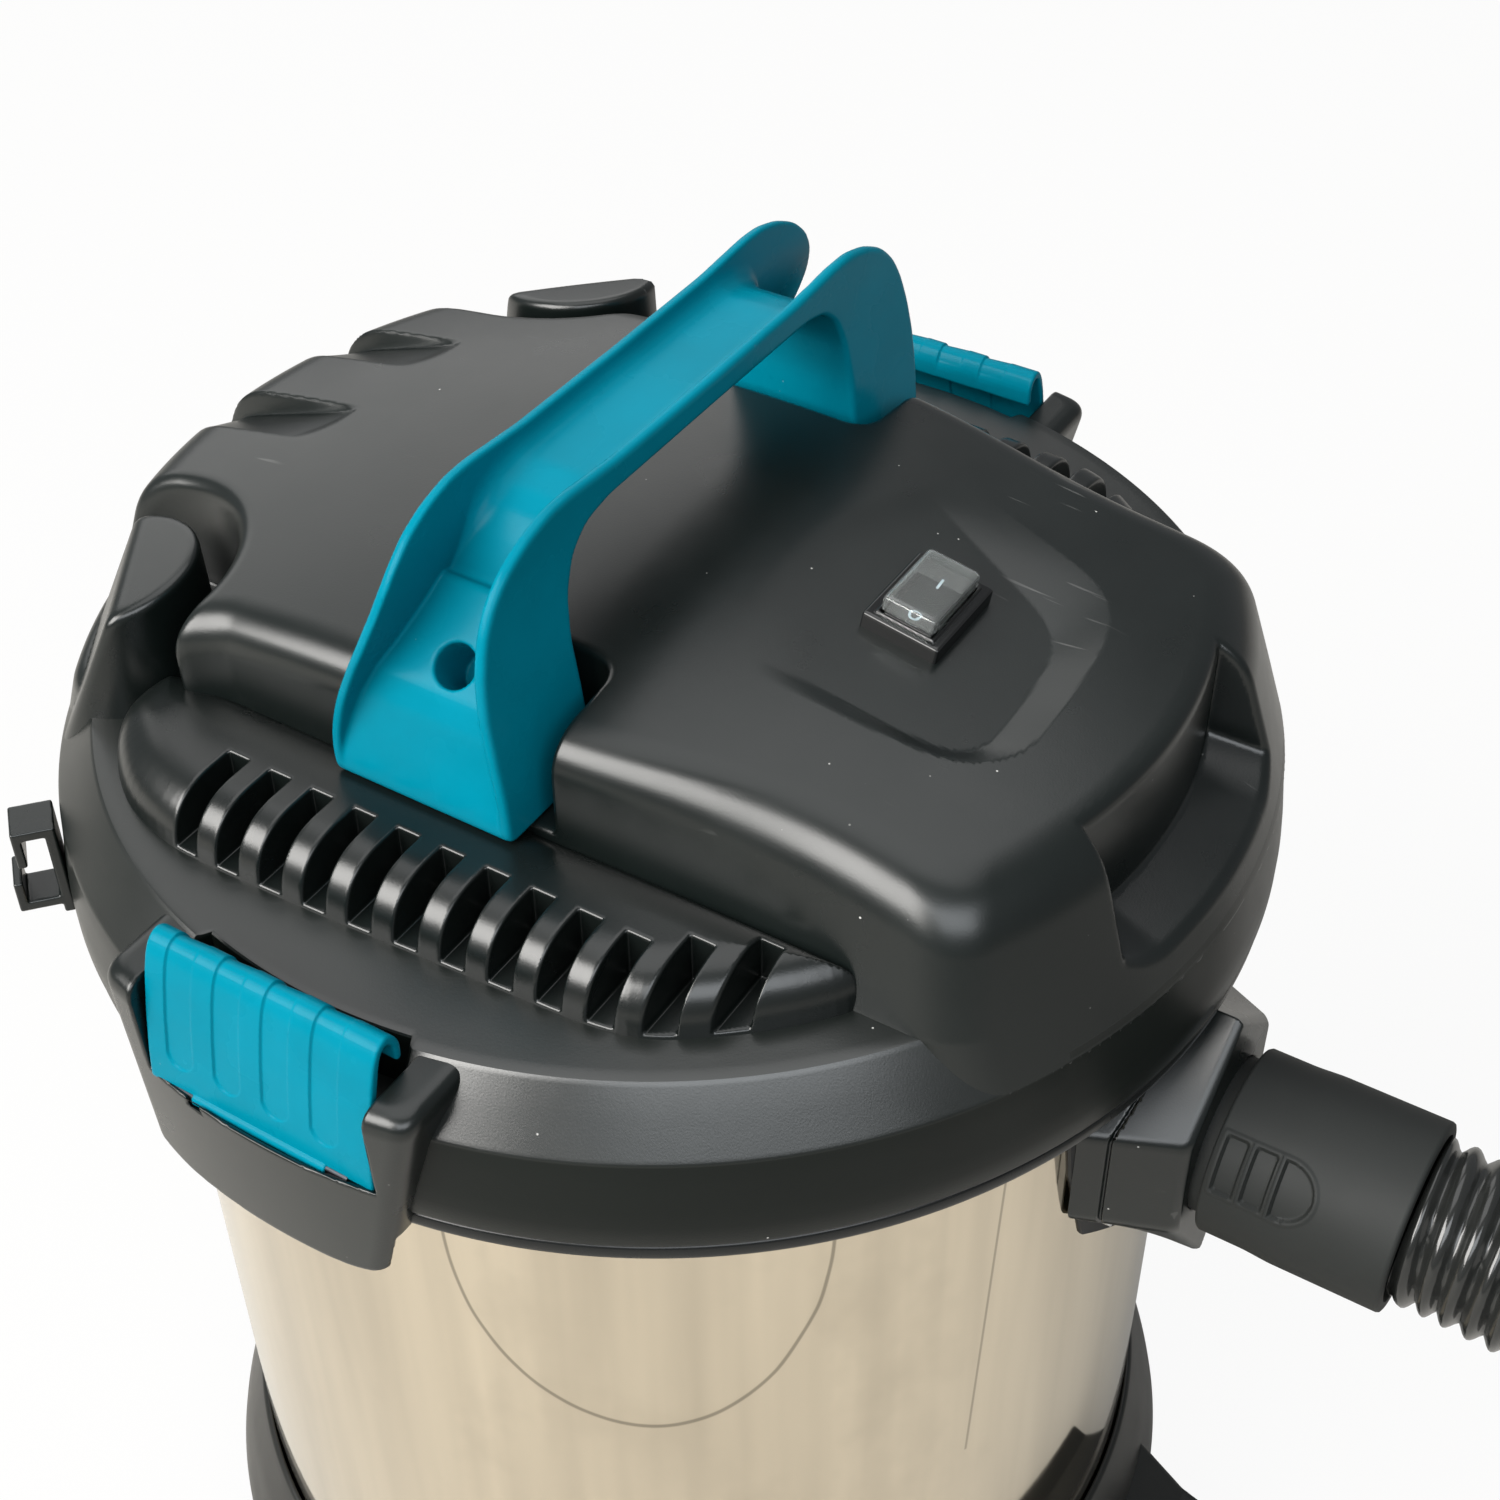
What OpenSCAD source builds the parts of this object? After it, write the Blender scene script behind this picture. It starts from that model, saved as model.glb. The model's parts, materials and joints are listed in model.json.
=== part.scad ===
// Wet and dry shop vacuum: stainless drum on a wheeled base, lift-off motor head, suction hose.
// Millimetres. Z = 0 is the floor, the drum's axis is X = Y = 0, the hose inlet faces -Y,
// the carrying handle spans X and the two latches sit at -X and +X.

/* [Drum] */
// Outer diameter of the stainless drum
drum_d = 300; // [290:1:310]
// Wall of the drum
drum_wall = 0.8; // [0.6:0.1:1.2]
// Height of the drum from its underside to its top edge
drum_h = 288; // [260:1:330]
// Height of the drum's underside above the floor
drum_z = 62; // [60:1:80]

/* [Rim] */
// How far the black rim stands out past the drum
rim_over = 16.6; // [15:0.1:18]
// How far the rim's lower edge lies below the drum's top edge
rim_drop = 20; // [19:0.5:22]
// Thickness of the rim's bead
rim_bead = 5; // [4:0.2:5.4]

/* [Head] */
// Wall of the head's mouldings
head_wall = 2.5; // [2:0.1:3]
// Height of the head's band above the rim's lower edge
band_h = 31; // [29:0.5:33]
// Height of the chamfer above the band
chamfer_h = 15; // [13:0.5:17]
// How far the chamfer goes inwards
chamfer_in = 11.3; // [10:0.1:13]
// Height of the dome's crest above the rim's lower edge
dome_h = 95; // [92:0.5:98]
// Radius of the domed top
dome_r = 650; // [600:10:700]
// Width of the central block, from side wall to side wall
block_w = 178; // [174:1:182]
// Width of the central block's top at its front end
block_front_w = 158; // [150:1:166]
// Slope of the block's front and rear walls, in mm per mm of height
block_slope = 0.325; // [0.25:0.01:0.4]

/* [Vents] */
// Height of the vent ledges above the strip
ledge_h = 15; // [13:0.5:17]
// How far the ledges stand out past the block's side walls
ledge_out = 40.5; // [38:0.5:42]
// Number of slots in each ledge
slot_count = 12; // [8:1:12]
// Distance from slot to slot
slot_pitch = 13.2; // [12.5:0.1:13.4]
// Width of a slot
slot_w = 6.6; // [5:0.1:8]
// Rear edge of the first slot
slot_y0 = 60.3; // [58:0.1:62]

/* [Panel and scoop] */
// Distance of the switch in front of the drum's axis
switch_y = 76; // [74:0.5:78]
// Width of the switch's bezel
switch_w = 29; // [27:0.5:31]
// Depth of the switch's bezel
switch_d = 21.5; // [20:0.5:23]
// Tilt of the switch panel in degrees
panel_tilt = 10; // [8:0.5:12]
// Depth of the panel below the dome
panel_depth = 2.6; // [2:0.1:3.5]
// Half of the angle that the front scoop spans, in degrees
scoop_half = 15.5; // [13:0.5:17]
// Radius of the scoop's back wall, less than the head's by
scoop_in = 22.9; // [21:0.1:24]

/* [Handle] */
// Height of the handle's flanges above the rim's lower edge
handle_h = 137; // [132:1:145]
// Width of the handle's grip
grip_w = 30; // [28:0.5:32]
// Thickness of the grip's web
grip_t = 3; // [2.5:0.1:4]
// Depth of the grip's channel
grip_channel = 6; // [5:0.5:7]
// Outer diameter of the handle's screw holes
handle_hole_d = 11; // [10:0.5:12]

/* [Latches] */
// Middle of the latches behind the drum's axis
latch_y = 4; // [0:1:8]
// Width of a latch lever
lever_w = 67.5; // [60:0.5:70]
// Width of a latch bracket at its top
bracket_w = 94; // [90:1:98]
// How far a bracket stands out past the rim
bracket_out = 8.9; // [8.5:0.1:10]
// Diameter of a latch pin
latch_pin_d = 2.6; // [2.2:0.1:2.8]
// Diameter of a lever's pivot barrel
barrel_d = 5; // [4.8:0.1:5.2]

/* [Motor] */
// Outer diameter of the motor cup
cup_d = 164; // [160:1:170]
// Depth of the motor cup below the deck
cup_h = 88; // [86:1:94]
// Diameter of the motor's shaft
shaft_d = 8; // [7:0.1:9]
// Outer diameter of the stator
stator_d = 88; // [84:1:92]
// Outer diameter of the armature
armature_d = 48; // [44:1:50]
// Outer diameter of the impeller
impeller_d = 124; // [116:1:128]
// Number of impeller blades
blade_count = 8; // [6:1:12]

/* [Filter and float] */
// Outer diameter of the float cage
cage_d = 84; // [80:1:90]
// Height of the float cage
cage_h = 62; // [60:1:70]
// Diameter of the float ball
float_d = 48; // [46:0.5:50]
// Thickness of the foam filter
filter_t = 9.5; // [8:0.5:12]

/* [Inlet and hose] */
// Depth of the inlet's axis below the rim's lower edge
inlet_drop = 48.5; // [48:0.5:52]
// Diameter of the inlet's bore
inlet_bore_d = 44.1; // [43:0.1:46]
// How far the inlet block stands out from the drum's wall
inlet_out = 24; // [22:0.5:28]
// Height of the inlet front's upper tip above its axis
inlet_tip = 44; // [42:0.5:45]
// Half of the width of the inlet's front
inlet_half = 26; // [25:0.5:28]
// Depth of the inlet front's lower tip below its axis
inlet_low = 52; // [50:0.5:54]
// Half of the inlet's width at the drum
inlet_root = 45; // [43:0.5:47]
// Outer diameter of the hose cuff
cuff_d = 53; // [51:0.5:56]
// Outer diameter of the hose
hose_d = 46; // [44:0.5:46]
// Length of the hand grip at the hose's far end
hose_grip_l = 130; // [110:1:140]
// Diameter of the hand grip's bore for tools
tool_bore_d = 32; // [30:0.5:34]

/* [Base and casters] */
// Height of the base's side skirt above the floor
skirt_z = 80; // [78:1:84]
// How far the caster pods stand out from the drum's wall
pod_reach = 40; // [39:0.5:44]
// Half of a caster pod's width
pod_half = 45; // [42:1:46]
// Distance of the caster stems from the drum's axis, past the drum's wall
caster_out = 18; // [16:0.5:20]
// Diameter of a caster wheel
wheel_d = 32; // [28:0.5:33]
// Width of a caster wheel
wheel_w = 14; // [12:0.5:16]
// How far a wheel trails behind its stem
wheel_trail = 10; // [8:0.5:12]

/* [Hidden] */
$fn = 96;

// Colours
black = [0.16, 0.17, 0.16];
teal = [0.0, 0.56, 0.67];
steel = [0.8, 0.75, 0.65];
grey = [0.5, 0.5, 0.5];

// Running and seating clearances
run_gap = 0.05;
seat_gap = 0.3;

// Drum and rim
drum_r = drum_d / 2;
drum_top = drum_z + drum_h;
rim_z = drum_top - rim_drop;
rim_r = drum_r + rim_over;
rim_top = rim_z + rim_bead - 2;

// Head outline: band, chamfer and strip, as radius and height
band_r = rim_r + 0.7;
band_top_r = rim_r - 1.6;
band_top = rim_z + band_h;
strip_r = band_top_r - chamfer_in;
strip_z = band_top + chamfer_h;
band_bottom = rim_top + 0.4;
dome_top = rim_z + dome_h;
ledge_z = strip_z + ledge_h;
block_half = block_w / 2;
front_half = block_front_w / 2;
deck_z = drum_top + 6;
deck_t = 3;
deck_top = deck_z + deck_t;

// Ledge corners: distance from the side wall, place along Y, radius
ledge_corners = [
    [ledge_out - 20, 62, 20], [ledge_out - 25, -60, 20], [-3, -99, 12], [-5, 94, 12]
];
// Ledge section: height above the strip, inset
ledge_section = [[-3, 0], [0, 0], [0.33 * ledge_h, 1.5], [0.7 * ledge_h, 5], [ledge_h, 12]];

// Rear posts: angle around the drum's axis
post_angles = [123.5, 44];
post_ring = drum_r - 5;
post_r = 23.5;
post_flat = drum_r - 7.5;
recess_ring = drum_r;
recess_r = 38.5;

// Rear grooves: X of their straight wall
groove_x = [1, 45, 85];
groove_w = 19;
groove_y = 97;
groove_fall = 11;
groove_lean = 9;

// Switch panel
dome_centre = dome_top - dome_r;
panel_z = dome_centre + sqrt(dome_r * dome_r - switch_y * switch_y) - panel_depth;
panel_outline = [
    [50, 57], [53.5, 26], [48.6, 3], [40, -21], [32.5, -33], [21, -39],
    [-21, -39], [-32.5, -33], [-40, -21], [-44, 3], [-44, 57]
];
bezel_h = 5;
switch_box_h = 20;
rocker_swing = 16;

// Scoop
scoop_r = rim_r - scoop_in;
scoop_floor = band_top + 10;

// Handle and its pockets
handle_top = rim_z + handle_h;
foot_half = 31;
foot_shift = 2;
pocket_gap = 3;
foam_w = 33;
foam_l = 140;
foam_h = 13;
foam_front = -80;
foot_in = block_half - 25;
foot_out = block_half + 10;
handle_screw_r = 2.5;
handle_screw_x = block_half - 3;
screw_seat = 14;

// Latches
lever_half = lever_w / 2;
bracket_r = rim_r + bracket_out;
pivot_r = rim_r + 0.8 + barrel_d / 2;
pivot_z = rim_z + 15.4;
window_z = pivot_z + 0.8;
apron_bottom = rim_z - 18;
lever_top = strip_z + 11;
knuckle_half = 0.3 * lever_w;
pin_half = knuckle_half + 6;
apron_in = norm([pivot_r + barrel_d / 2, abs(latch_y) + knuckle_half]) + 0.3;

// Motor, fan, filter and float
cup_r = cup_d / 2;
cup_bottom = deck_z - cup_h;
cup_floor = cup_bottom + deck_t;
fan_bottom = cup_floor + 1;
fan_h = 38;
fan_top = fan_bottom + fan_h;
suction_r = 22;
shaft_r = shaft_d / 2;
shaft_bottom = fan_bottom + 3;
shaft_top = dome_top - 29;
stator_r = stator_d / 2;
armature_r = armature_d / 2;
air_gap = 1;
core_z = fan_top + 18;
core_h = 38;
commutator_z = core_z + core_h + 5;
commutator_h = 14;
commutator_r = armature_r - 9;
bearing_r = 11;
bearing_h = 7;
bearing_low = fan_top + 2;
bearing_high = shaft_top - bearing_h - 1;
frame_r = stator_r + 3;
cage_r = cage_d / 2;
cage_top = cup_bottom;
cage_flange = 3;
cage_bottom = cage_top - cage_h;
cage_wall = 2;
float_r = float_d / 2;
seat_r = 20;

// Inlet, cuff and hose
inlet_z = rim_z - inlet_drop;
inlet_r = inlet_bore_d / 2;
inlet_front = drum_r + inlet_out;
cuff_start = inlet_front + 2;
cuff_l = 51;
cuff_end = cuff_start + cuff_l;
cuff_spigot_r = inlet_r - run_gap;
cuff_bore_r = inlet_r - 3.5;
hose_r = hose_d / 2;
hose_start = 227;
hose_sides = 12;
inlet_screw_places = [[-24, -24], [24, -24], [-24, 24], [24, 24]];

// Route of the hose: out of the cuff, down to the floor and round on it
hose_route = [
    [0, -227, 281.5], [0, -245, 281], [0, -287, 276], [0, -333, 259], [0, -375, 232],
    [0, -410, 197], [0, -437, 152], [0, -464, 108], [0, -499, 72], [0, -541, 45],
    [0, -588, 29], [0, -638, 23], [8, -699, 23], [31, -756, 23], [69, -804, 23],
    [118, -842, 23], [174, -865, 23], [235, -873, 23], [296, -865, 23], [352, -842, 23],
    [401, -804, 23], [439, -756, 23], [462, -699, 23], [470, -638, 23], [462, -577, 23],
    [439, -521, 23], [401, -472, 23], [352, -434, 23]
];
grip_heading = 150;

// Base and casters
pod_angles = [-90, 0, 90, 180];
base_in = drum_r + 0.4;
base_out = drum_r + 14;
base_bottom = 39;
base_floor_t = 4;
base_floor = drum_z - base_floor_t;
pod_out = drum_r + pod_reach;
pod_bottom = 38;
stem_r = 4;
stem_h = 8;
caster_ring = drum_r + caster_out;
wheel_r = wheel_d / 2;
axle_r = 2;
fork_t = 2.5;
fork_gap = 0.5;
fork_top = pod_bottom - seat_gap;

// ---- shared shapes ----

module ring(r_in, r_out, z0, z1) {
    rotate_extrude() polygon([[r_in, z0], [r_out, z0], [r_out, z1], [r_in, z1]]);
}

module sector(middle, half, outline) {
    rotate([0, 0, middle - half]) rotate_extrude(angle = 2 * half) polygon(outline);
}

module bar_y(x, z, r, y0, y1) {
    translate([x, y0, z]) rotate([-90, 0, 0]) cylinder(r = r, h = y1 - y0);
}

module bar_x(y, z, r, x0, x1) {
    translate([x0, y, z]) rotate([0, 90, 0]) cylinder(r = r, h = x1 - x0);
}

// ---- tank ----

module drum() {
    corner = 6;
    color(steel) difference() {
        rotate_extrude() polygon([
            [0, drum_z], [drum_r - corner, drum_z], [drum_r, drum_z + corner],
            [drum_r, drum_top], [drum_r - drum_wall, drum_top],
            [drum_r - drum_wall, drum_z + corner], [drum_r - corner - drum_wall / 2, drum_z + drum_wall],
            [0, drum_z + drum_wall]
        ]);
        bar_y(0, inlet_z, inlet_r + 2, -drum_r - 5, -drum_r + 15);
        for (p = inlet_screw_places) bar_y(p[0], inlet_z + p[1], 2.2, -drum_r - 5, -drum_r + 20);
    }
}

module drum_rim() {
    lip = 2;
    color(black) rotate_extrude() polygon([
        [drum_r, rim_z - 12], [drum_r + 3, rim_z - 12], [drum_r + 6, rim_z - 4],
        [rim_r - 1.5, rim_z - 2], [rim_r, rim_z - 0.5], [rim_r, rim_top - 1], [rim_r - 1, rim_top],
        [drum_r + 5, rim_top], [drum_r + 5, drum_top + lip],
        [drum_r - drum_wall, drum_top + lip], [drum_r - drum_wall, drum_top], [drum_r, drum_top]
    ]);
}

module base_skirt() {
    pod_top = drum_z - 8;
    color(black) difference() {
        union() {
            rotate_extrude() polygon([
                [60, base_floor], [base_out - 9, base_floor], [base_out - 4.5, base_bottom],
                [base_out, base_bottom], [base_out - 1.6, base_bottom + 8], [base_out - 5.6, drum_z],
                [base_in + 1.8, skirt_z - 1], [base_in + 1, skirt_z], [base_in, skirt_z],
                [base_in, drum_z], [60, drum_z]
            ]);
            intersection() {
                rotate_extrude() polygon([
                    [base_out - 11, pod_bottom], [base_out - 11, base_floor + 1],
                    [base_out - 6, base_floor + 1], [base_out - 4, pod_top + 3],
                    [base_out + 12, pod_top - 8], [pod_out - 2, pod_top - 11],
                    [pod_out, pod_bottom + 2], [pod_out, pod_bottom]
                ]);
                for (a = pod_angles) rotate([0, 0, a]) translate([0, 0, pod_bottom - 1])
                    linear_extrude(base_floor - pod_bottom + 4) polygon([
                        [base_in - 12, -pod_half], [base_in + 10, -pod_half],
                        [pod_out + 1, -pod_half + 3], [pod_out + 1, pod_half - 3],
                        [base_in + 10, pod_half], [base_in - 12, pod_half]
                    ]);
            }
        }
        for (a = pod_angles) rotate([0, 0, a]) translate([caster_ring, 0, pod_bottom - 1])
            cylinder(r = stem_r + run_gap, h = stem_h + 1.5);
    }
}

module inlet_outline() {
    polygon([
        [0, inlet_tip], [inlet_half, 0.77 * inlet_half], [inlet_half, -0.54 * inlet_half],
        [0, -inlet_low], [-inlet_half, -0.54 * inlet_half], [-inlet_half, 0.77 * inlet_half]
    ]);
}

// Outline of the inlet's root on the drum, drawn inwards by t
module inlet_root_outline(t) {
    half = inlet_root - t;
    polygon([
        [0, inlet_tip - 0.8 * t], [half, 0.47 * half], [half - 2, 4], [0.73 * half, -0.71 * half],
        [0, -inlet_low - 4 + 0.8 * t], [-0.73 * half, -0.71 * half], [2 - half, 4], [-half, 0.47 * half]
    ]);
}

module inlet_block() {
    rim_clear = drum_r + 6.8;
    room = 2 * inlet_root;
    color(black) difference() {
        hull() {
            translate([0, -inlet_front + 4, inlet_z]) rotate([90, 0, 0])
                linear_extrude(4) inlet_outline();
            translate([0, -drum_r + 20, inlet_z]) rotate([90, 0, 0]) linear_extrude(1)
                inlet_root_outline(0);
        }
        translate([0, 0, inlet_z - room]) cylinder(r = drum_r + 1, h = 2 * room);
        translate([0, 0, rim_z - 12.5]) cylinder(r = rim_clear, h = 40);
        bar_y(0, inlet_z, inlet_r, -inlet_front - 1, -drum_r + 20);
        for (p = inlet_screw_places) bar_y(p[0], inlet_z + p[1], 1.8, -drum_r - 6, -drum_r + 20);
    }
}

module inlet_gasket() {
    color([0.1, 0.1, 0.1]) difference() {
        intersection() {
            ring(drum_r + run_gap, drum_r + 1 - run_gap, inlet_z - inlet_low - 8, rim_z - 12.5);
            translate([0, -drum_r + 20, inlet_z]) rotate([90, 0, 0]) linear_extrude(inlet_root)
                inlet_root_outline(5);
        }
        bar_y(0, inlet_z, inlet_r + 2, -drum_r - 5, -drum_r + 20);
        for (p = inlet_screw_places) bar_y(p[0], inlet_z + p[1], 2.2, -drum_r - 5, -drum_r + 20);
    }
}

module inlet_spout() {
    spout_r = inlet_r + 4;
    depth = 34;
    color(black) difference() {
        intersection() {
            union() {
                bar_y(0, inlet_z, spout_r, -drum_r, -drum_r + depth);
                bar_y(0, inlet_z, spout_r + 3, -drum_r, -drum_r + 4);
            }
            translate([0, 0, inlet_z - 60]) cylinder(r = drum_r - drum_wall - run_gap, h = 120);
        }
        bar_y(0, inlet_z, spout_r - 2, -drum_r - 1, -drum_r + depth - 2);
        translate([-inlet_r, -drum_r + 12, inlet_z - 60]) cube([2 * inlet_r, depth - 14, 50]);
    }
}

module inlet_screws() {
    color(grey) for (p = inlet_screw_places) {
        y_wall = -sqrt(pow(drum_r - drum_wall, 2) - p[0] * p[0]);
        bar_y(p[0], inlet_z + p[1], 3.6, y_wall + 1.4, y_wall + 3.6);
        bar_y(p[0], inlet_z + p[1], 1.75, y_wall - 7, y_wall + 1.5);
    }
}

module hose_cuff() {
    color(black) difference() {
        union() {
            bar_y(0, inlet_z, cuff_d / 2, -cuff_end, -cuff_start);
            bar_y(0, inlet_z, cuff_spigot_r, -cuff_start - 1, -drum_r + 12);
        }
        bar_y(0, inlet_z, cuff_bore_r, -cuff_end - 1, -drum_r + 13);
    }
}

// Direction of the route at point i, and the two directions across it
function unit(v) = v / norm(v);
function along(i) = unit(hose_route[min(i + 1, len(hose_route) - 1)] - hose_route[max(i - 1, 0)]);
function across(i) = unit(cross([0.001, 0, 1], along(i)));
function above(i) = cross(along(i), across(i));
function ring_points(i, r) = [
    for (k = [0 : hose_sides - 1])
        hose_route[i] + r * (cos(360 * k / hose_sides) * across(i) + sin(360 * k / hose_sides) * above(i))
];

module hose() {
    rings = len(hose_route);
    last = rings * hose_sides;
    color([0.12, 0.12, 0.12]) polyhedron(
        points = [for (i = [0 : rings - 1]) each ring_points(i, hose_r)],
        faces = concat(
            [[for (k = [0 : hose_sides - 1]) k]],
            [[for (k = [hose_sides - 1 : -1 : 0]) last - hose_sides + k]],
            [for (i = [0 : rings - 2]) for (k = [0 : hose_sides - 1]) let (n = (k + 1) % hose_sides)
                [i * hose_sides + k, (i + 1) * hose_sides + k, (i + 1) * hose_sides + n, i * hose_sides + n]]
        )
    );
}

module hose_grip() {
    tip_r = tool_bore_d / 2 + 3;
    end = hose_route[len(hose_route) - 1];
    color(black) translate(end) rotate([0, 0, grip_heading]) rotate([0, 90, 0]) rotate_extrude() polygon([
        [tool_bore_d / 2 - 2, 0], [hose_r - 0.2, 0], [hose_r - 0.2, 40], [tip_r, 55],
        [tip_r, hose_grip_l], [tool_bore_d / 2, hose_grip_l],
        [tool_bore_d / 2, hose_grip_l - 45], [tool_bore_d / 2 - 2, hose_grip_l - 47]
    ]);
}

// ---- casters ----

module at_caster(i) {
    a = pod_angles[i - 1];
    translate([caster_ring * cos(a), caster_ring * sin(a), 0]) children();
}

module caster_fork(i) {
    cheek = wheel_w / 2 + fork_gap;
    crown_z = fork_top - 3.5;
    crown_r = 11;
    color(black) at_caster(i) difference() {
        union() {
            translate([0, 0, fork_top - 1]) cylinder(r = stem_r, h = stem_h + 1);
            translate([0, 0, crown_z]) cylinder(r = crown_r, h = fork_top - crown_z);
            for (s = [-1, 1]) translate([s * (cheek + fork_t / 2), 0, 0]) rotate([90, 0, 90])
                translate([0, 0, -fork_t / 2]) linear_extrude(fork_t) polygon([
                    [-8, fork_top], [wheel_trail + 4, fork_top], [wheel_trail + 6, wheel_r + 3],
                    [wheel_trail + 4, wheel_r - 5], [wheel_trail - 4, wheel_r - 5], [-8, crown_z]
                ]);
            translate([-cheek, -7, crown_z]) cube([2 * cheek, wheel_trail + 10, fork_top - crown_z]);
        }
        bar_x(wheel_trail, wheel_r, axle_r, -cheek - 5, cheek + 5);
    }
}

module caster_axle(i) {
    half = wheel_w / 2 + fork_gap + fork_t;
    color(grey) at_caster(i) bar_x(wheel_trail, wheel_r, axle_r, -half, half);
}

module caster_wheel(i) {
    edge = 2;
    half = wheel_w / 2;
    color([0.2, 0.2, 0.2]) at_caster(i) translate([0, wheel_trail, wheel_r]) rotate([0, 90, 0])
        rotate_extrude() polygon([
            [axle_r + run_gap, -half], [wheel_r - 5, -half], [wheel_r - 4, -half + 1],
            [wheel_r - edge, -half], [wheel_r, -half + edge], [wheel_r, half - edge],
            [wheel_r - edge, half], [wheel_r - 4, half - 1], [wheel_r - 5, half],
            [axle_r + run_gap, half]
        ]);
}

// ---- head ----

// Band, chamfer and strip, drawn inwards by t
module head_skirt(t) {
    low = t > 0 ? band_bottom - 5 : band_bottom;
    rotate_extrude() polygon([
        [0, low], [band_r - 0.5 - t, low], [band_r - t, rim_z + 8], [band_r - t, rim_z + 11],
        [band_top_r - t, band_top], [strip_r - 0.4 * t, strip_z - t], [0, strip_z - t]
    ]);
}

module block_slab(half, z) {
    translate([0, 0, z]) linear_extrude(0.1) polygon([
        [-half[0], -rim_r], [half[0], -rim_r], [half[1], -26], [half[1], rim_r],
        [-half[1], rim_r], [-half[1], -26]
    ]);
}

// Central block: sloping side walls, coned front and rear, domed top, drawn inwards by t
module head_block(t) {
    low = drum_top - (t > 0 ? 22 : 0);
    intersection() {
        rotate_extrude() polygon([
            [0, low], [band_top_r - 1 - t, low], [band_top_r - t, band_top],
            [band_top_r - t - block_slope * (dome_top - band_top), dome_top], [0, dome_top]
        ]);
        hull() {
            block_slab([block_half + 0.5 - t, block_half + 0.5 - t], low);
            block_slab([block_half + 0.5 - t, block_half + 0.5 - t], ledge_z);
            block_slab([front_half - t, block_half - t], dome_top - 13);
            block_slab([front_half - 10 - t, block_half - 10 - t], dome_top + 1);
        }
        translate([0, 0, dome_centre]) sphere(r = dome_r - t, $fn = 240);
    }
}

module head_ledge(s, t) {
    hull() for (l = ledge_section) for (c = ledge_corners) if (c[2] - l[1] - t > 0.6)
        translate([s * (block_half + c[0]), c[1], strip_z + l[0] - t])
            cylinder(r = c[2] - l[1] - t, h = 0.01, $fn = 32);
}

module at_rear(a, r) {
    translate([r * cos(a), r * sin(a), 0]) children();
}

// Hollows that are cut into the cover's outside, each grown by t to give its wall
module post_recess(a, t) {
    at_rear(a, recess_ring) translate([0, 0, strip_z - t]) cylinder(r = recess_r + t, h = 80);
}

module scoop(t) {
    sector(-90, scoop_half + (t > 0 ? 1.2 : 0), [
        [scoop_r - t, scoop_floor + 4 - t], [rim_r - 5, scoop_floor - t], [rim_r + 9, scoop_floor - t],
        [rim_r + 9, dome_top], [scoop_r - t, dome_top]
    ]);
}

module panel_recess(t) {
    translate([0, -switch_y, panel_z - t]) rotate([panel_tilt, 0, 0]) linear_extrude(30)
        scale([1 + t / 40, 1 + t / 40]) polygon(panel_outline);
}

module handle_pocket(s, t) {
    x0 = foot_in - pocket_gap - t;
    x_size = foot_out + 8 - x0;
    translate([s > 0 ? x0 : -x0 - x_size, foot_shift - foot_half - pocket_gap - t, ledge_z - t])
        cube([x_size, 2 * (foot_half + pocket_gap + t), 60]);
}

module groove(x) {
    y = groove_y - 0.08 * x;
    z = dome_centre + sqrt(dome_r * dome_r - x * x - y * y);
    translate([x, y, z]) rotate([-groove_fall, groove_lean, 0]) translate([-groove_w, 0, -2])
        cube([groove_w, 90, 40]);
}

module slots(s) {
    for (k = [0 : slot_count - 1]) {
        y1 = slot_y0 - slot_pitch * k;
        inner = block_half + (k < 10 ? 18 : k == 10 ? 11.6 : 2.9);
        translate([s > 0 ? inner : -inner - 60, y1 - slot_w, strip_z + 1]) cube([60, slot_w, 40]);
    }
}

module switch_frame() {
    translate([0, -switch_y, panel_z]) rotate([panel_tilt, 0, 0]) children();
}

// Latch bracket: a block that hangs over the rim, with a window for the lever
module bracket(s) {
    half_a = asin(bracket_w / 2 / bracket_r);
    middle = s > 0 ? asin(latch_y / bracket_r) : 180 - asin(latch_y / bracket_r);
    clear_r = rim_r + 1.2;
    foot_z = rim_z + 4.5;
    window = lever_half + 0.8;
    pocket = knuckle_half + 0.4;
    pocket_z = pivot_z - barrel_d / 2 - 0.4;
    difference() {
        sector(middle, half_a, [
            [clear_r, apron_bottom], [bracket_r, apron_bottom], [bracket_r, strip_z - 7],
            [bracket_r - 4, strip_z - 1], [strip_r - 5, strip_z - 1], [strip_r - 5, strip_z - 2],
            [band_top_r - 1.5, band_top - 1], [band_r - 1.5, foot_z + 4], [band_r - 1.5, foot_z],
            [clear_r, foot_z]
        ]);
        translate([s > 0 ? 0 : -bracket_r - 5, latch_y - window, window_z])
            cube([bracket_r + 5, 2 * window, 60]);
        intersection() {
            cylinder(r = apron_in, h = strip_z);
            translate([s > 0 ? 0 : -bracket_r, latch_y - pocket, pocket_z])
                cube([bracket_r, 2 * pocket, 60]);
        }
    }
}

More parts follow.
